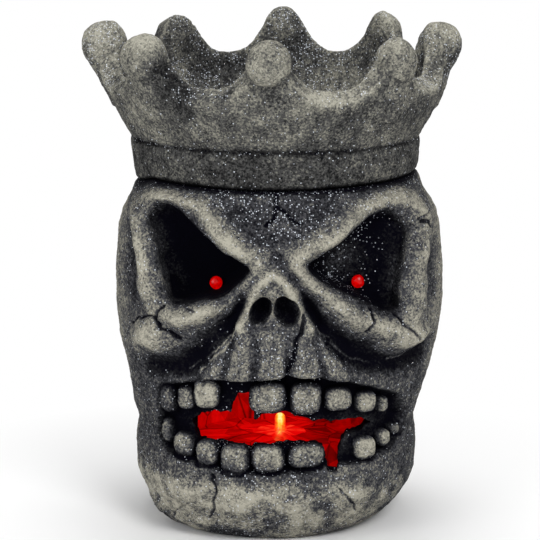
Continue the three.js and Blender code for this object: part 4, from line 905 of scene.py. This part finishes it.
def paint_skull(piece, points, fine, wide, angle, across, z, depth):
    """Tone is pale above zero and dark below it, and glint is the share of glitter.

    The bare numbers are strengths and shares.
    """
    front = facing(angle)
    share_x, share_z = across / HALF_WIDTH, z / HEIGHT
    below = front * smoothstep(depth, *CARVED_DEPTHS)
    deep = front * smoothstep(depth, *DEEP_DEPTHS)
    recess = recess_map.at(across, z)
    sunk = below * smoothstep(recess, *RECESS_FADE) * (1 - 0.6 * smoothstep(share_x, 0.36, 0.5))
    lip = front * swell(recess, LIP_SPREAD)
    rim = sum(smoothstep(side.at(across, z), *SOCKET_RIM) for side in socket_maps)
    crest = np.clip(bone_map.at(across, z) / RIDGE_HEIGHT, 0, 1.2)
    # Ridges paler and hollows darker, from the openness and the bone and hollow maps: dry-brushed paint and
    # wash, and partly painted highlight and shade
    tone = 2.2 * fine + 1.7 * wide - 0.3 + front * (0.95 * crest ** 1.2 - 0.15 * hollow_map.at(across, z))
    tone += 0.55 * front * nose_map.at(across, z) + 0.4 * crest * noise(points, *CREST_NOISE)
    tone += 0.65 * smoothstep(np.abs(share_x), 0.85, 0.96) + 0.5 * (1 - front)
    # Painted shade, with some dark wash: carved places, the deep sockets, the mouth's recess and each eye
    # socket go dark
    tone -= 1.1 * below + 1.4 * deep + 1.2 * sunk + 1.0 * front * rim
    tone += front * (tooth_map.at(across, z) * (1 - below) - 0.55 * lip)
    chin = front * smoothstep(0.21 - share_z, 0, 0.05)
    tone += chin * (0.7 + 1.1 * noise(points, *CHIN_WIDE_NOISE) + 0.9 * noise(points, *CHIN_FINE_NOISE))
    tone -= 1.4 * front * smoothstep(crack_map.at(across, z), *CRACK_DEPTHS)
    tone += 2.4 * front * scratch_map.at(across, z)
    # A dark line at the seam under the crown: partly a dark joint and partly painted shade
    tone -= 1.0 * swell(HEIGHT - z, SKULL_SEAM[1])
    brow = smoothstep(share_z, 0.78, 0.9) * smoothstep(0.6 - np.abs(share_x), 0, 0.3)
    brow = brow * (1 - np.clip(crest, 0, 1))
    tone -= 0.35 * front * brow
    # The right socket is bluer and has more glitter
    right_socket = swell((share_x - 0.55) / 0.2, 1)
    blue = right_socket * swell((share_z - 0.79) / 0.1, 1) * deep
    tone += blue * (-0.8 + 0.4 * noise(points, *SOCKET_NOISE) - tone)
    put_values(piece, "tone", tone)
    gap_edge = swell(gap_map.at(across, z), GAP_EDGE_SPREAD) * below
    socket = right_socket * swell((share_z - 0.8) / 0.1, 1) * below
    glint = 0.1 + 0.75 * brow + 0.7 * gap_edge + 0.9 * socket + 0.2 * swell(HEIGHT - z, SEAM_GLINT_SPREAD)
    glint += 0.25 * front * swell(share_x - 0.02, 0.35) * smoothstep(0.66 - share_z, 0, 0.05)
    glint *= 0.5 + 0.8 * smoothstep(noise(points, *SKULL_GLINT_NOISE), -0.3, 0.5)
    put_values(piece, "glint", np.clip(front * glint + 0.06 - 0.2 * below, 0, 1))


# Crown

def crown_radius(z):
    rise = (np.minimum(z, CROWN_FREE_HEIGHT) - CROWN_BASE) / CROWN_RIM_RISE
    flare = np.maximum(rise - CROWN_OUTER_SHARES[-1, 0], 0) * CROWN_RIM_RISE * CROWN_FLARE
    flare += np.maximum(z - CROWN_FREE_HEIGHT, 0) * CROWN_FREE_FLARE
    return np.interp(rise, CROWN_OUTER_SHARES[:, 0], CROWN_OUTER_SHARES[:, 1]) * CROWN_SEAM_RADIUS + flare


def rim_height(angle):
    """Height of the rim at the middle of the wall."""
    height = CROWN_BASE + RIM_RISE - RIM_LIFT * np.cos(angle)
    for x, y, *_ in CROWN_BALLS:
        turn = math.atan2(x, -y)
        reach = math.hypot(x, y)
        away = np.abs(np.angle(np.exp(1j * (angle - turn)))) * reach
        rise = POINT_RISE + POINT_LIFT * y / reach
        height = height + rise * np.exp(-((away / POINT_SPREAD) ** POINT_BLUNTNESS))
    return height


def bowl_radius(z):
    rise = (z - BOWL_FLOOR) / BOWL_CURVE
    lip = BOWL_FLOOR + BOWL_CURVE
    top = lip + BOWL_LIP_RISE
    high = np.interp(z, [lip, top], [BOWL_RADIUS, crown_radius(top) - CROWN_WALL])
    high = np.where(z > top, crown_radius(z) - CROWN_WALL, high)
    return np.where(rise < 1, np.interp(rise, BOWL_SHARES[:, 0], BOWL_SHARES[:, 1]) * BOWL_RADIUS, high)


def crown_wall_depths(angle, radius, z):
    """Depth below the surface of the crown's wall and spigot at each voxel."""
    outside = crown_radius(z)
    seam_depth, seam_spread = CROWN_SEAM
    seam = seam_depth * swell(z - CROWN_BASE, seam_spread)
    groove_depth, groove_spread = CROWN_GROOVE
    groove = groove_depth * swell(z - CROWN_GROOVE_HEIGHT, groove_spread)
    groove = groove * smoothstep(np.cos(angle), *GROOVE_FRONT_SHARES)
    wall = np.minimum(outside - seam - groove - radius, z - CROWN_BASE)
    outer = np.maximum(wall, np.minimum(SPIGOT_RADIUS - radius, z - SPIGOT_BOTTOM))
    room = np.minimum(bowl_radius(z) - radius, z - BOWL_FLOOR)
    slope = RIM_SLOPE * np.clip(outside - CROWN_WALL / 2 - radius, -CROWN_WALL / 2, CROWN_WALL / 2)
    rim = (rim_height(angle) + slope - z) * RIM_DEPTH_SHARE
    depth = soft_min(outer, -room, BOWL_ROUNDING)
    return soft_min(depth, rim, RIM_ROUNDING).astype(np.float32)


def add_ball(block, depth, at_x, at_y, at_z, ball_radius, top_radius):
    """A ball on a point of the crown. One with a top radius also gets a finger under it, leaning out."""
    turn = math.atan2(at_y, at_x)
    place = np.array([at_x, at_y, at_z])
    cuts, (x, y, z) = block.part(place - BALL_ROOM_BELOW, place + BALL_ROOM_ABOVE)
    out = (x - at_x) * math.cos(turn) + (y - at_y) * math.sin(turn)
    side = -(x - at_x) * math.sin(turn) + (y - at_y) * math.cos(turn)
    up = (z - at_z) * math.cos(FINGER_LEAN) + out * math.sin(FINGER_LEAN)
    over = out * math.cos(FINGER_LEAN) - (z - at_z) * math.sin(FINGER_LEAN)
    around = np.sqrt(over * over + side * side)
    ball = ball_radius - np.sqrt(up * up + around * around)
    if top_radius > 0:
        along = np.clip(-up, 0, FINGER_LENGTH)
        thick = top_radius + (FINGER_FOOT_RADIUS - top_radius) * along / FINGER_LENGTH
        finger = thick - np.sqrt((up + along) ** 2 + around * around)
        depth[cuts] = soft_max(depth[cuts], finger, BALL_ROUNDING)
    depth[cuts] = soft_max(depth[cuts], ball, FRONT_BALL_ROUNDING if at_y < BALL_FRONT else BALL_ROUNDING)


def make_crown():
    block = Block(*CROWN_BOX, VOXEL)
    angle = np.arctan2(block.x, -block.y)
    radius = np.hypot(block.x, block.y)
    z = block.z.astype(float)
    depth = crown_wall_depths(angle, radius, z)
    for ball in CROWN_BALLS:
        add_ball(block, depth, *ball)
    filled = np.maximum(depth, np.minimum(CROWN_SEAM_RADIUS - radius, CROWN_BASE - z + 1))
    points, triangles, quads = skin_of(block, depth)
    piece = mesh_of("crown_stone_casting", points, triangles, quads)
    foot, full = CROWN_GRAIN_RISE
    seen = smoothstep(points[:, 2], CROWN_BASE + foot, CROWN_BASE + full)
    lumps = CROWN_LUMP * noise(points, *CROWN_LUMP_NOISE) * smoothstep(points[:, 2], *CROWN_LUMP_HEIGHTS)
    grain = seen * stone_noise(points + CROWN_GRAIN_SHIFT) + lumps
    points = points + normals_of(piece) * grain[:, None]
    fine, wide = openness(block, filled, points)
    paint_crown(piece, points, fine, wide)
    low, high = np.array(cad_box) / MM
    put_points(piece, np.clip(settled(points), low, high))
    return piece


def paint_crown(piece, points, fine, wide):
    """Tone and glint as on the skull, with strengths and shares as bare numbers."""
    x, y, z = points.T
    angle = np.arctan2(x, -y)
    front = smoothstep(np.cos(angle), *GROOVE_FRONT_SHARES)
    inside = smoothstep(crown_radius(z) - np.hypot(x, y), CROWN_WALL * 0.5, CROWN_WALL * 0.95)
    top = rim_height(angle)
    rim = smoothstep(z, top - RIM_PAINT_DROPS[0], top - RIM_PAINT_DROPS[1]) * (1 - inside)
    valley = rim * smoothstep(-z, *VALLEY_HEIGHTS)
    right = smoothstep(x, *RIGHT_SIDE)
    # Ridges paler and hollows darker from the openness: dry-brushed paint and wash, and partly painted
    # highlight and shade
    tone = 0.15 + 3.2 * fine + 0.8 * wide + inside * (0.2 * right - 0.15) + valley * (0.9 * right - 0.2)
    tone -= 0.35 * smoothstep(y, *BACK_SIDE) * smoothstep(z, *POINT_HEIGHTS)
    tone -= 0.3 * smoothstep(CROWN_GROOVE_HEIGHT - z, *BAND_FADE)
    tone += 0.4 * noise(points, *CROWN_WIDE_NOISE) + 0.25 * noise(points, *CROWN_FINE_NOISE)
    tone += 0.55 * smoothstep(z, *TOP_HEIGHTS) * smoothstep(np.abs(x), *TOP_SIDE)
    # Painted shade on the front left ball and painted shadow on the wall under it
    tone -= sum(dark * swell(np.linalg.norm(points - at, axis=1), spread) for at, spread, dark in BALL_PAINTED_SHADES)
    tone += 1.5 * inside * smoothstep(-z, *BOWL_PAINT_HEIGHTS) - 0.3 * smoothstep(-z, *BOWL_DARK_HEIGHTS)
    groove = swell(z - CROWN_GROOVE_HEIGHT, GROOVE_PAINT_SPREAD) * front
    shade = swell(z - CROWN_GROOVE_HEIGHT, GROOVE_SHADE_SPREAD) * front
    tone -= 0.5 * groove + 0.2 * shade + 0.9 * swell(z - CROWN_BASE, CROWN_SEAM_PAINT_SPREAD)
    put_values(piece, "tone", tone)
    clumps = 0.25 + 1.2 * smoothstep(noise(points, *CROWN_GLINT_NOISE), -0.2, 0.5)
    fingers = smoothstep(z, *POINT_HEIGHTS) * smoothstep(np.abs(x), *FINGER_SIDE)
    glint = 0.08 + (1.0 * inside + 0.85 * valley + 0.8 * fingers) * clumps + 0.5 * groove
    put_values(piece, "glint", np.clip(glint, 0, 1))


# Materials

class Nodes:
    """The nodes of a material or of the world, added one call at a time."""

    def __init__(self, owner):
        owner.use_nodes = True
        self.tree = owner.node_tree

    def add(self, kind, inputs=None, **settings):
        made = self.tree.nodes.new(kind)
        for key, value in settings.items():
            setattr(made, key, value)
        self.feed(made, inputs or {})
        return made

    def feed(self, made, inputs):
        for key, value in inputs.items():
            socket = made.inputs[key]
            if isinstance(value, bpy.types.NodeSocket):
                self.tree.links.new(value, socket)
            else:
                socket.default_value = value

    def math(self, operation, a, b=0.0, clamp=False):
        return self.add("ShaderNodeMath", {0: a, 1: b}, operation=operation, use_clamp=clamp).outputs[0]

    def spread(self, value, low, high, to_low=0.0, to_high=1.0):
        inputs = {"Value": value, "From Min": low, "From Max": high, "To Min": to_low, "To Max": to_high}
        return self.add("ShaderNodeMapRange", inputs).outputs["Result"]

    def seen_ray(self):
        """One for what the camera sees, directly or in glass and metal."""
        path = self.add("ShaderNodeLightPath").outputs
        seen = self.math("ADD", path["Is Camera Ray"], path["Is Glossy Ray"], True)
        return self.math("ADD", seen, path["Is Transmission Ray"], True)


class Paint(Nodes):
    """A material's nodes, with places in the object's own frame."""

    def __init__(self, name):
        self.material = bpy.data.materials.new(name)
        super().__init__(self.material)
        self.shader = self.tree.nodes["Principled BSDF"]
        self.place = self.add("ShaderNodeTexCoord").outputs["Object"]

    def noise(self, size, detail=3.0, rough=0.6):
        """Noise from 0 to 1 with lumps of about this size in millimetres."""
        inputs = {"Vector": self.place, "Scale": 1 / (size * MM), "Detail": detail, "Roughness": rough}
        return self.add("ShaderNodeTexNoise", inputs).outputs["Fac"]

    def cells(self, size):
        """Cells of about this size in millimetres, and the three random shares of each."""
        inputs = {"Vector": self.place, "Scale": 1 / (size * MM), "Randomness": 1.0}
        made = self.add("ShaderNodeTexVoronoi", inputs)
        return made, self.add("ShaderNodeSeparateColor", {"Color": made.outputs["Color"]}).outputs

    def attribute(self, name):
        return self.add("ShaderNodeAttribute", attribute_name=name).outputs["Fac"]

    def ramp(self, value, stops):
        made = self.add("ShaderNodeValToRGB", {"Fac": value})
        line = made.color_ramp.elements
        while len(line) < len(stops):
            line.new(0.5)
        for stop, (at, color) in zip(line, stops):
            stop.position = at
            stop.color = (*color, 1)
        return made.outputs["Color"]

    def mix(self, share, a, b):
        made = self.add("ShaderNodeMix", data_type="RGBA")
        self.feed(made, {0: share, 6: a, 7: b})
        return made.outputs[2]

    def bump(self, height, distance, strength=1.0, normal=None):
        inputs = {"Height": height, "Distance": distance * MM, "Strength": strength}
        if normal is not None:
            inputs["Normal"] = normal
        return self.add("ShaderNodeBump", inputs).outputs["Normal"]

    def finish(self, inputs):
        self.feed(self.shader, inputs)
        return self.material


def stone(name, mid, pale, dark):
    """Cast stone, pale on its ridges and dark in its hollows as dry-brushed paint and wash and partly as
    painted highlight and shade, with glitter.
    """
    paint = Paint(name)
    grain = paint.noise(SPECK_SIZE, 2.0, 0.7)
    patch = paint.noise(STONE_PATCH_SIZE, 4.0, 0.65)
    sand = paint.cells(SAND_SIZE)[1]["Green"]
    pit = paint.spread(paint.noise(FINE_PIT_SIZE, 2.0, 0.6), 0.6, 0.7, 0.0, -1.1)
    tone = paint.attribute("tone")
    tone = paint.math("ADD", tone, paint.spread(grain, 0.3, 0.7, -0.6, 0.6))
    tone = paint.math("ADD", tone, paint.spread(sand, 0.0, 1.0, -0.62, 0.62))
    tone = paint.math("ADD", tone, paint.spread(patch, 0.35, 0.65, -0.35, 0.35))
    tone = paint.math("ADD", tone, pit)
    color = paint.ramp(paint.spread(tone, -2.2, 1.8), [
        (0.0, dark), (0.3, tuple(0.25 * v for v in mid)), (0.55, mid), (0.77, tuple(0.56 * v for v in pale)),
        (1.0, pale),
    ])
    flake, apart = paint.cells(FLAKE_SIZE)
    wanted = paint.spread(paint.attribute("glint"), 0.0, 1.0, 1.0, 0.66)
    chosen = paint.math("GREATER_THAN", apart["Red"], wanted)
    round_flake = paint.math("LESS_THAN", flake.outputs["Distance"], 0.38)
    glitter = paint.math("MULTIPLY", chosen, round_flake)
    glitter = paint.math("MULTIPLY", glitter, paint.spread(apart["Blue"], 0.0, 1.0, 0.25, 1.0))
    color = paint.mix(glitter, color, (0.62, 0.66, 0.74, 1))
    height = paint.math("ADD", grain, paint.math("MULTIPLY", sand, 0.5))
    return paint.finish({
        "Base Color": color,
        "Roughness": paint.spread(glitter, 0, 1, 0.95, 0.4),
        "Specular IOR Level": paint.spread(glitter, 0, 1, 0.03, 0.6),
        "Normal": paint.bump(height, STONE_BUMP, 0.5),
    })


def plain(name, color, roughness, metallic=0.0, grain=0.6, lumps=0.03):
    """A moulded or plated finish with a fine texture and small changes of shade."""
    paint = Paint(name)
    fine = paint.noise(grain)
    wide = paint.noise(WIDE_LUMP_SIZE)
    shade = paint.spread(wide, 0.3, 0.7, 0.88, 1.12)
    tint = paint.add("ShaderNodeVectorMath", {0: color, "Scale": shade}, operation="SCALE").outputs[0]
    return paint.finish({
        "Base Color": tint,
        "Roughness": paint.spread(fine, 0.2, 0.8, roughness - 0.06, roughness + 0.06),
        "Metallic": metallic,
        "Normal": paint.bump(fine, lumps, 0.5),
    })


def film_material():
    """Thin red film with painted glow from the light inside it, and painted shade along its creases."""
    paint = Paint("red_film")
    glow = paint.attribute("glow")
    streak = paint.noise(STREAK_SIZE, 4.0, 0.7)
    # Painted shade along the creases
    bent = paint.add("ShaderNodeVectorMath", {0: paint.place, 1: (1.0, 1.0, 0.5)}, operation="MULTIPLY")
    crease = paint.add("ShaderNodeTexVoronoi", {"Vector": bent.outputs[0], "Scale": 1 / (CREASE_SIZE * MM)},
                       feature="DISTANCE_TO_EDGE")
    line = paint.spread(crease.outputs["Distance"], 0.0, 0.025, -0.3, 0.0)
    glow = paint.math("ADD", glow, paint.spread(streak, 0.3, 0.7, -0.07, 0.07))
    glow = paint.math("ADD", glow, line)
    # The light mirrored in the film in front of it
    mirror = tuple(MM * v for v in (MOUTH_LED[0], MOUTH_LED[1] - GLOW_FORWARD, MOUTH_LED[2]))
    away = paint.add("ShaderNodeVectorMath", {0: paint.place, 1: mirror}, operation="SUBTRACT")
    away = paint.add("ShaderNodeVectorMath", {0: away.outputs[0], 1: (1.0, 0.32, 0.6)}, operation="MULTIPLY")
    away = paint.add("ShaderNodeVectorMath", {0: away.outputs[0]}, operation="LENGTH").outputs["Value"]
    glow = paint.math("ADD", glow, paint.spread(away, 0.0, GLOW_REACH * MM, 0.55, 0.0))
    color = paint.ramp(paint.spread(glow, 0.0, 1.5), [
        (0.0, (0.012, 0.0, 0.0)), (0.2, (0.1, 0.0, 0.0)), (0.38, (0.42, 0.0, 0.0)),
        (0.55, (0.8, 0.002, 0.002)), (0.7, (1.0, 0.06, 0.02)), (1.0, (1.0, 0.55, 0.1)),
    ])
    return paint.finish({
        "Base Color": (0.1, 0.0, 0.0, 1),
        "Roughness": 0.3,
        "Specular IOR Level": 0.1,
        "Emission Color": color,
        "Emission Strength": 1.0,
        "Normal": paint.bump(streak, STREAK_BUMP, 0.4),
    })


def eye_lens_material():
    """A lit red lens, a little cloudy."""
    paint = Paint("eye_lens")
    cloud = paint.spread(paint.noise(CLOUD_SIZE, 2.0), 0.35, 0.65)
    return paint.finish({
        "Base Color": (0.12, 0.0, 0.0, 1),
        "Roughness": 0.2,
        "Specular IOR Level": 0.2,
        "Emission Color": paint.mix(cloud, (0.34, 0.0, 0.0, 1), (0.62, 0.0, 0.0, 1)),
        "Emission Strength": 1.0,
    })


def mouth_lens_material():
    """A lit clear lens: a yellow core that turns orange and red towards its sides and foot."""
    paint = Paint("mouth_lens")
    away = paint.add("ShaderNodeVectorMath", {0: paint.place, 1: tuple(MM * v for v in MOUTH_LED)},
                     operation="SUBTRACT")
    apart = paint.add("ShaderNodeSeparateXYZ", {"Vector": away.outputs[0]}).outputs
    side = paint.math("ABSOLUTE", apart["X"])
    core = paint.spread(side, CORE_REACH[0] * MM, CORE_REACH[1] * MM, 1.0, 0.0)
    height = paint.spread(apart["Z"], CORE_HEIGHTS[0] * MM, CORE_HEIGHTS[1] * MM, 0.35, 1.0)
    glow = paint.math("MULTIPLY", core, height)
    lumps = paint.spread(paint.noise(GLOW_LUMP_SIZE, 2.0), 0.35, 0.65, -0.14, 0.14)
    glow = paint.math("ADD", glow, lumps, True)
    color = paint.ramp(glow, [
        (0.0, (0.95, 0.02, 0.005)), (0.35, (1.0, 0.16, 0.01)),
        (0.7, (1.0, 0.5, 0.03)), (1.0, (1.0, 0.85, 0.3)),
    ])
    return paint.finish({
        "Base Color": (0.2, 0.01, 0.005, 1),
        "Roughness": 0.15,
        "Specular IOR Level": 0.35,
        "Emission Color": color,
        "Emission Strength": 1.1,
    })


# Lights and film

def lathe(profile, sides=40):
    """A closed turned piece standing on the origin. Rows are radius and height."""
    profile = np.array(profile, float)
    turns = 2 * math.pi * np.arange(sides) / sides
    rings = [np.stack([r * np.cos(turns), r * np.sin(turns), np.full(sides, h)], 1) for r, h in profile]
    points = np.concatenate(rings + [[[0, 0, profile[0, 1]]], [[0, 0, profile[-1, 1]]]])
    here = np.arange(sides)
    after = (here + 1) % sides
    quads = [np.stack([here, after, after + sides, here + sides], 1) + row * sides
             for row in range(len(profile) - 1)]
    last = (len(profile) - 1) * sides
    bottom, top = len(points) - 2, len(points) - 1
    ends = [np.stack([np.full(sides, bottom), after, here], 1),
            np.stack([np.full(sides, top), here + last, after + last], 1)]
    return points, np.concatenate(ends), np.concatenate(quads)


def led_profile():
    """Radius and height along a light's side, from its flange to its dome."""
    flange, thick = LED_FLANGE
    dome = LED_HEIGHT - LED_RADIUS
    rows = [
        (flange - LED_BEVEL, 0), (flange, LED_BEVEL), (flange, thick - LED_TOP_BEVEL),
        (flange - LED_TOP_BEVEL, thick), (LED_RADIUS + LED_BODY_STEP, thick),
        (LED_RADIUS, thick + 2 * LED_BODY_STEP),
    ]
    for turn in np.linspace(0, math.pi / 2, LED_DOME_STEPS)[:-1]:
        rows.append((LED_RADIUS * math.cos(turn), dome + LED_RADIUS * math.sin(turn)))
    return rows + [(LED_TIP_RADIUS, LED_HEIGHT)]


def make_leds(lens_red, lens_clear):
    made = []
    points, triangles, quads = lathe(led_profile())
    mouth = mesh_of("mouth_light", points + MOUTH_LED, triangles, quads)
    made.append((mouth, "mouth_led", lens_clear, "mouth_lens"))
    for side, place in zip(("left", "right"), EYE_LED_SHARES):
        x, z = on_face(place)
        back = -SOCKET_FLOOR + SOCKET_WALL + GAP + LED_FLANGE[1]
        # A bead of glue sits round the tip, past the socket's floor, and glows red with the lens as painted
        # glow of the light
        out = smoothstep(points[:, 2], SOCKET_WALL + GLUE_GLOW_RISE[0], SOCKET_WALL + GLUE_GLOW_RISE[1])
        lumps = 1 + out * (GLUE_GLOW_SHARE + GLUE_GLOW_NOISE_SHARE * noise(points + x, *GLUE_GLOW_NOISE))
        depths = back - points[:, 2] - GLUE_GLOW_DRAW * out
        flat = np.stack([points[:, 0] * lumps + x, depths, points[:, 1] * lumps + z], 1)
        eye = mesh_of(f"eye_light_{side}", flat, triangles, quads)
        made.append((eye, f"eye_led_{side}", lens_red, "eye_lens"))
    for piece, node, material, slot in made:
        piece.data.materials.append(material)
        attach(piece, "root")
        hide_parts(node)


def film_reach(height, middle, ways):
    """How far the film runs from its lamp before it meets the inside of the casting."""
    reach = np.full(len(ways), LINER_HOLE)
    for step in np.arange(LINER_HOLE, FILM_FAR, FILM_STEP):
        at = middle + ways * step
        across = (at - LINER_MIDDLE) / LINER_HALVES
        angle = np.arctan2(at[:, 0], -at[:, 1])
        smooth = skull_radius(angle, height)
        carved = smooth + facing(angle) * np.minimum(relief_map.at(smooth * np.sin(angle), height), 0)
        clear = np.hypot(*across.T) < LINER_EDGE_SHARE
        clear = clear & (np.hypot(*at.T) < carved - WALL - LINER_THICKNESS)
        reach = np.where(clear & (reach > step - 2 * FILM_STEP), step, reach)
    return reach


def make_film(material):
    """A creased red bag behind the teeth, as flat facets, with the light of the lamp that stands in it
    painted on as glow.
    """
    rng = np.random.default_rng(SEED)
    columns = FILM_COLUMNS
    jitter = rng.uniform(-FILM_TURN_JITTER, FILM_TURN_JITTER, columns)
    turns = 2 * math.pi * (np.arange(columns) + jitter) / columns
    middle = np.array(MOUTH_LED[:2])
    ways = np.stack([np.cos(turns), np.sin(turns)], 1)
    reach = film_reach(LINER_FLOOR, middle, ways)
    rings = []
    for i in range(FILM_RINGS + 1):
        share = (i / FILM_RINGS) ** 1.2
        far = LINER_HOLE + (reach - LINER_HOLE) * share
        at = middle + ways * (far * rng.uniform(0.94, 1.0, columns))[:, None]
        crease = share * rng.uniform(-FILM_CREASE, FILM_CREASE, columns)
        height = LINER_FLOOR + FILM_LIFT + crease - FILM_SINK * share
        rings.append(np.column_stack([at, height]))
    front = (middle + ways * reach[:, None])[:, 1] < LINER_FRONT
    for i in range(1, FILM_RINGS + 1):
        target = np.where(front, LINER_LOW, LINER_TOP)
        height = LINER_FLOOR + (target - LINER_FLOOR) * i / FILM_RINGS
        far = np.where(front, film_reach((LINER_FLOOR + LINER_LOW) / 2, middle, ways), reach)
        at = middle + ways * (far - rng.uniform(0, FILM_FOLD, columns) * ~front)[:, None]
        rings.append(np.column_stack([at, height]))
    points = np.concatenate(rings)
    triangles = []
    for row in range(len(rings) - 1):
        for i in range(columns):
            after = (i + 1) % columns
            if row >= FILM_RINGS and front[i] != front[after]:
                continue
            a, b = row * columns + i, row * columns + after
            c, d = a + columns, b + columns
            triangles += [(a, b, c), (b, d, c)] if rng.random() < 0.5 else [(a, b, d), (a, d, c)]
    triangles = np.array(triangles)
    piece = mesh_of("mouth_film", points, triangles, np.zeros((0, 4), int), smooth=False)
    corners = points[triangles]
    centers = corners.mean(axis=1)
    # Painted light: facets glow brighter near the mouth light, with painted shade to the right and each facet
    # a little darker or lighter at random
    away = np.linalg.norm(np.array(MOUTH_LED) + (0, 0, FILM_LIGHT_HEIGHT) - centers, axis=1)
    shade = 0.2 * smoothstep(centers[:, 0], *FILM_SHADE_SIDE) + rng.uniform(-0.06, 0.2, len(centers))
    glow = 0.62 + 0.5 * swell(away, FILM_LIGHT_SPREAD) - shade
    layer = piece.data.attributes.new("glow", "FLOAT", "FACE")
    layer.data.foreach_set("value", glow.astype(np.float32))
    thick = piece.modifiers.new("thickness", "SOLIDIFY")
    thick.thickness = FILM_THICKNESS * MM
    thick.offset = 0
    piece.data.materials.append(material)
    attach(piece, "root")
    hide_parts("mouth_liner")


# Room

def area_light(name, place, target, size, power):
    data = bpy.data.lights.new(name, "AREA")
    data.shape = "DISK"
    data.size = size
    data.energy = power
    lamp = bpy.data.objects.new(name, data)
    lamp.location = place
    lamp.rotation_euler = (Vector(target) - Vector(place)).to_track_quat("-Z", "Y").to_euler()
    bpy.context.scene.collection.objects.link(lamp)


def make_camera():
    level = math.cos(CAMERA_ELEVATION)
    back = Vector((
        math.sin(CAMERA_AZIMUTH) * level, -math.cos(CAMERA_AZIMUTH) * level, math.sin(CAMERA_ELEVATION),
    ))
    data = bpy.data.cameras.new("camera")
    data.sensor_width = CAMERA_SENSOR
    data.lens = CAMERA_LENS
    camera = bpy.data.objects.new("camera", data)
    camera.location = Vector(CAMERA_TARGET) + back * CAMERA_DISTANCE
    camera.rotation_mode = "QUATERNION"
    camera.rotation_quaternion = (-back).to_track_quat("-Z", "Y")
    bpy.context.scene.collection.objects.link(camera)
    bpy.context.scene.camera = camera


def make_world():
    scene = bpy.context.scene
    scene.view_settings.view_transform = "Standard"
    scene.world = bpy.data.worlds.new("room")
    nodes = Nodes(scene.world)
    strength = nodes.spread(nodes.seen_ray(), 0.0, 1.0, WORLD_STRENGTH, 1.0)
    nodes.feed(nodes.tree.nodes["Background"], {"Color": WHITE, "Strength": strength})


def make_floor():
    """A pale floor that keeps the object's shadow and is white farther out."""
    bpy.ops.mesh.primitive_grid_add(x_subdivisions=FLOOR_CUTS, y_subdivisions=FLOOR_CUTS, size=FLOOR_SIZE)
    floor = bpy.context.object
    floor.name = "floor"
    paint = Paint("pale_floor")
    apart = paint.add("ShaderNodeSeparateXYZ", {"Vector": paint.place}).outputs
    square = paint.math("ADD", paint.math("POWER", apart["X"], 2.0), paint.math("POWER", apart["Y"], 2.0))
    far = paint.spread(paint.math("SQRT", square), *FLOOR_FADE)
    share = paint.math("MULTIPLY", far, paint.seen_ray())
    paint.feed(paint.shader, {"Base Color": (0.9, 0.9, 0.9, 1), "Roughness": 0.9})
    white = paint.add("ShaderNodeEmission", {"Color": WHITE, "Strength": 1.0}).outputs[0]
    both = paint.add("ShaderNodeMixShader", {0: share, 1: paint.shader.outputs[0], 2: white})
    paint.tree.links.new(both.outputs[0], paint.tree.nodes["Material Output"].inputs["Surface"])
    floor.data.materials.append(paint.material)


make_camera()
make_world()
for light in LIGHTS:
    area_light(*light)
make_floor()

materials = {
    "skull_stone": stone(
        "skull_stone", (0.056, 0.057, 0.064), (0.36, 0.345, 0.285), (0.0014, 0.0013, 0.0036)
    ),
    "crown_stone": stone("crown_stone", (0.066, 0.066, 0.065), (0.34, 0.33, 0.275), (0.0015, 0.0015, 0.003)),
    "red_film": film_material(),
    "mouth_lens": mouth_lens_material(),
    "eye_lens": eye_lens_material(),
    "black_plastic": plain("black_plastic", (0.03, 0.03, 0.032), 0.5, grain=0.5, lumps=0.05),
    "white_plastic": plain("white_plastic", (0.72, 0.71, 0.67), 0.4),
    "steel": plain("steel", (0.62, 0.62, 0.64), 0.3, 1.0, grain=0.3),
    "brass": plain("brass", (0.7, 0.52, 0.24), 0.32, 1.0, grain=0.3),
    "cell_jacket": plain("cell_jacket", (0.06, 0.09, 0.07), 0.35),
    "board": plain("board", (0.03, 0.16, 0.06), 0.4),
    "resistor": plain("resistor", (0.62, 0.5, 0.32), 0.5),
    "red_cover": plain("red_cover", (0.5, 0.02, 0.02), 0.4),
    "black_cover": plain("black_cover", (0.02, 0.02, 0.02), 0.4),
}

for row in frame["record"]["subparts"]:
    slots = frame["nodes"][row["node"]].data.materials
    slots.clear()
    slots.append(materials[row["material_slot"]])

castings = ((make_skull, "skull_shell", "skull_stone"), (make_crown, "crown_bowl", "crown_stone"))
for make, node, slot in castings:
    casting = make()
    casting.data.materials.append(materials[slot])
    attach(casting, "root")
    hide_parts(node)
make_film(materials["red_film"])
make_leds(materials["eye_lens"], materials["mouth_lens"])
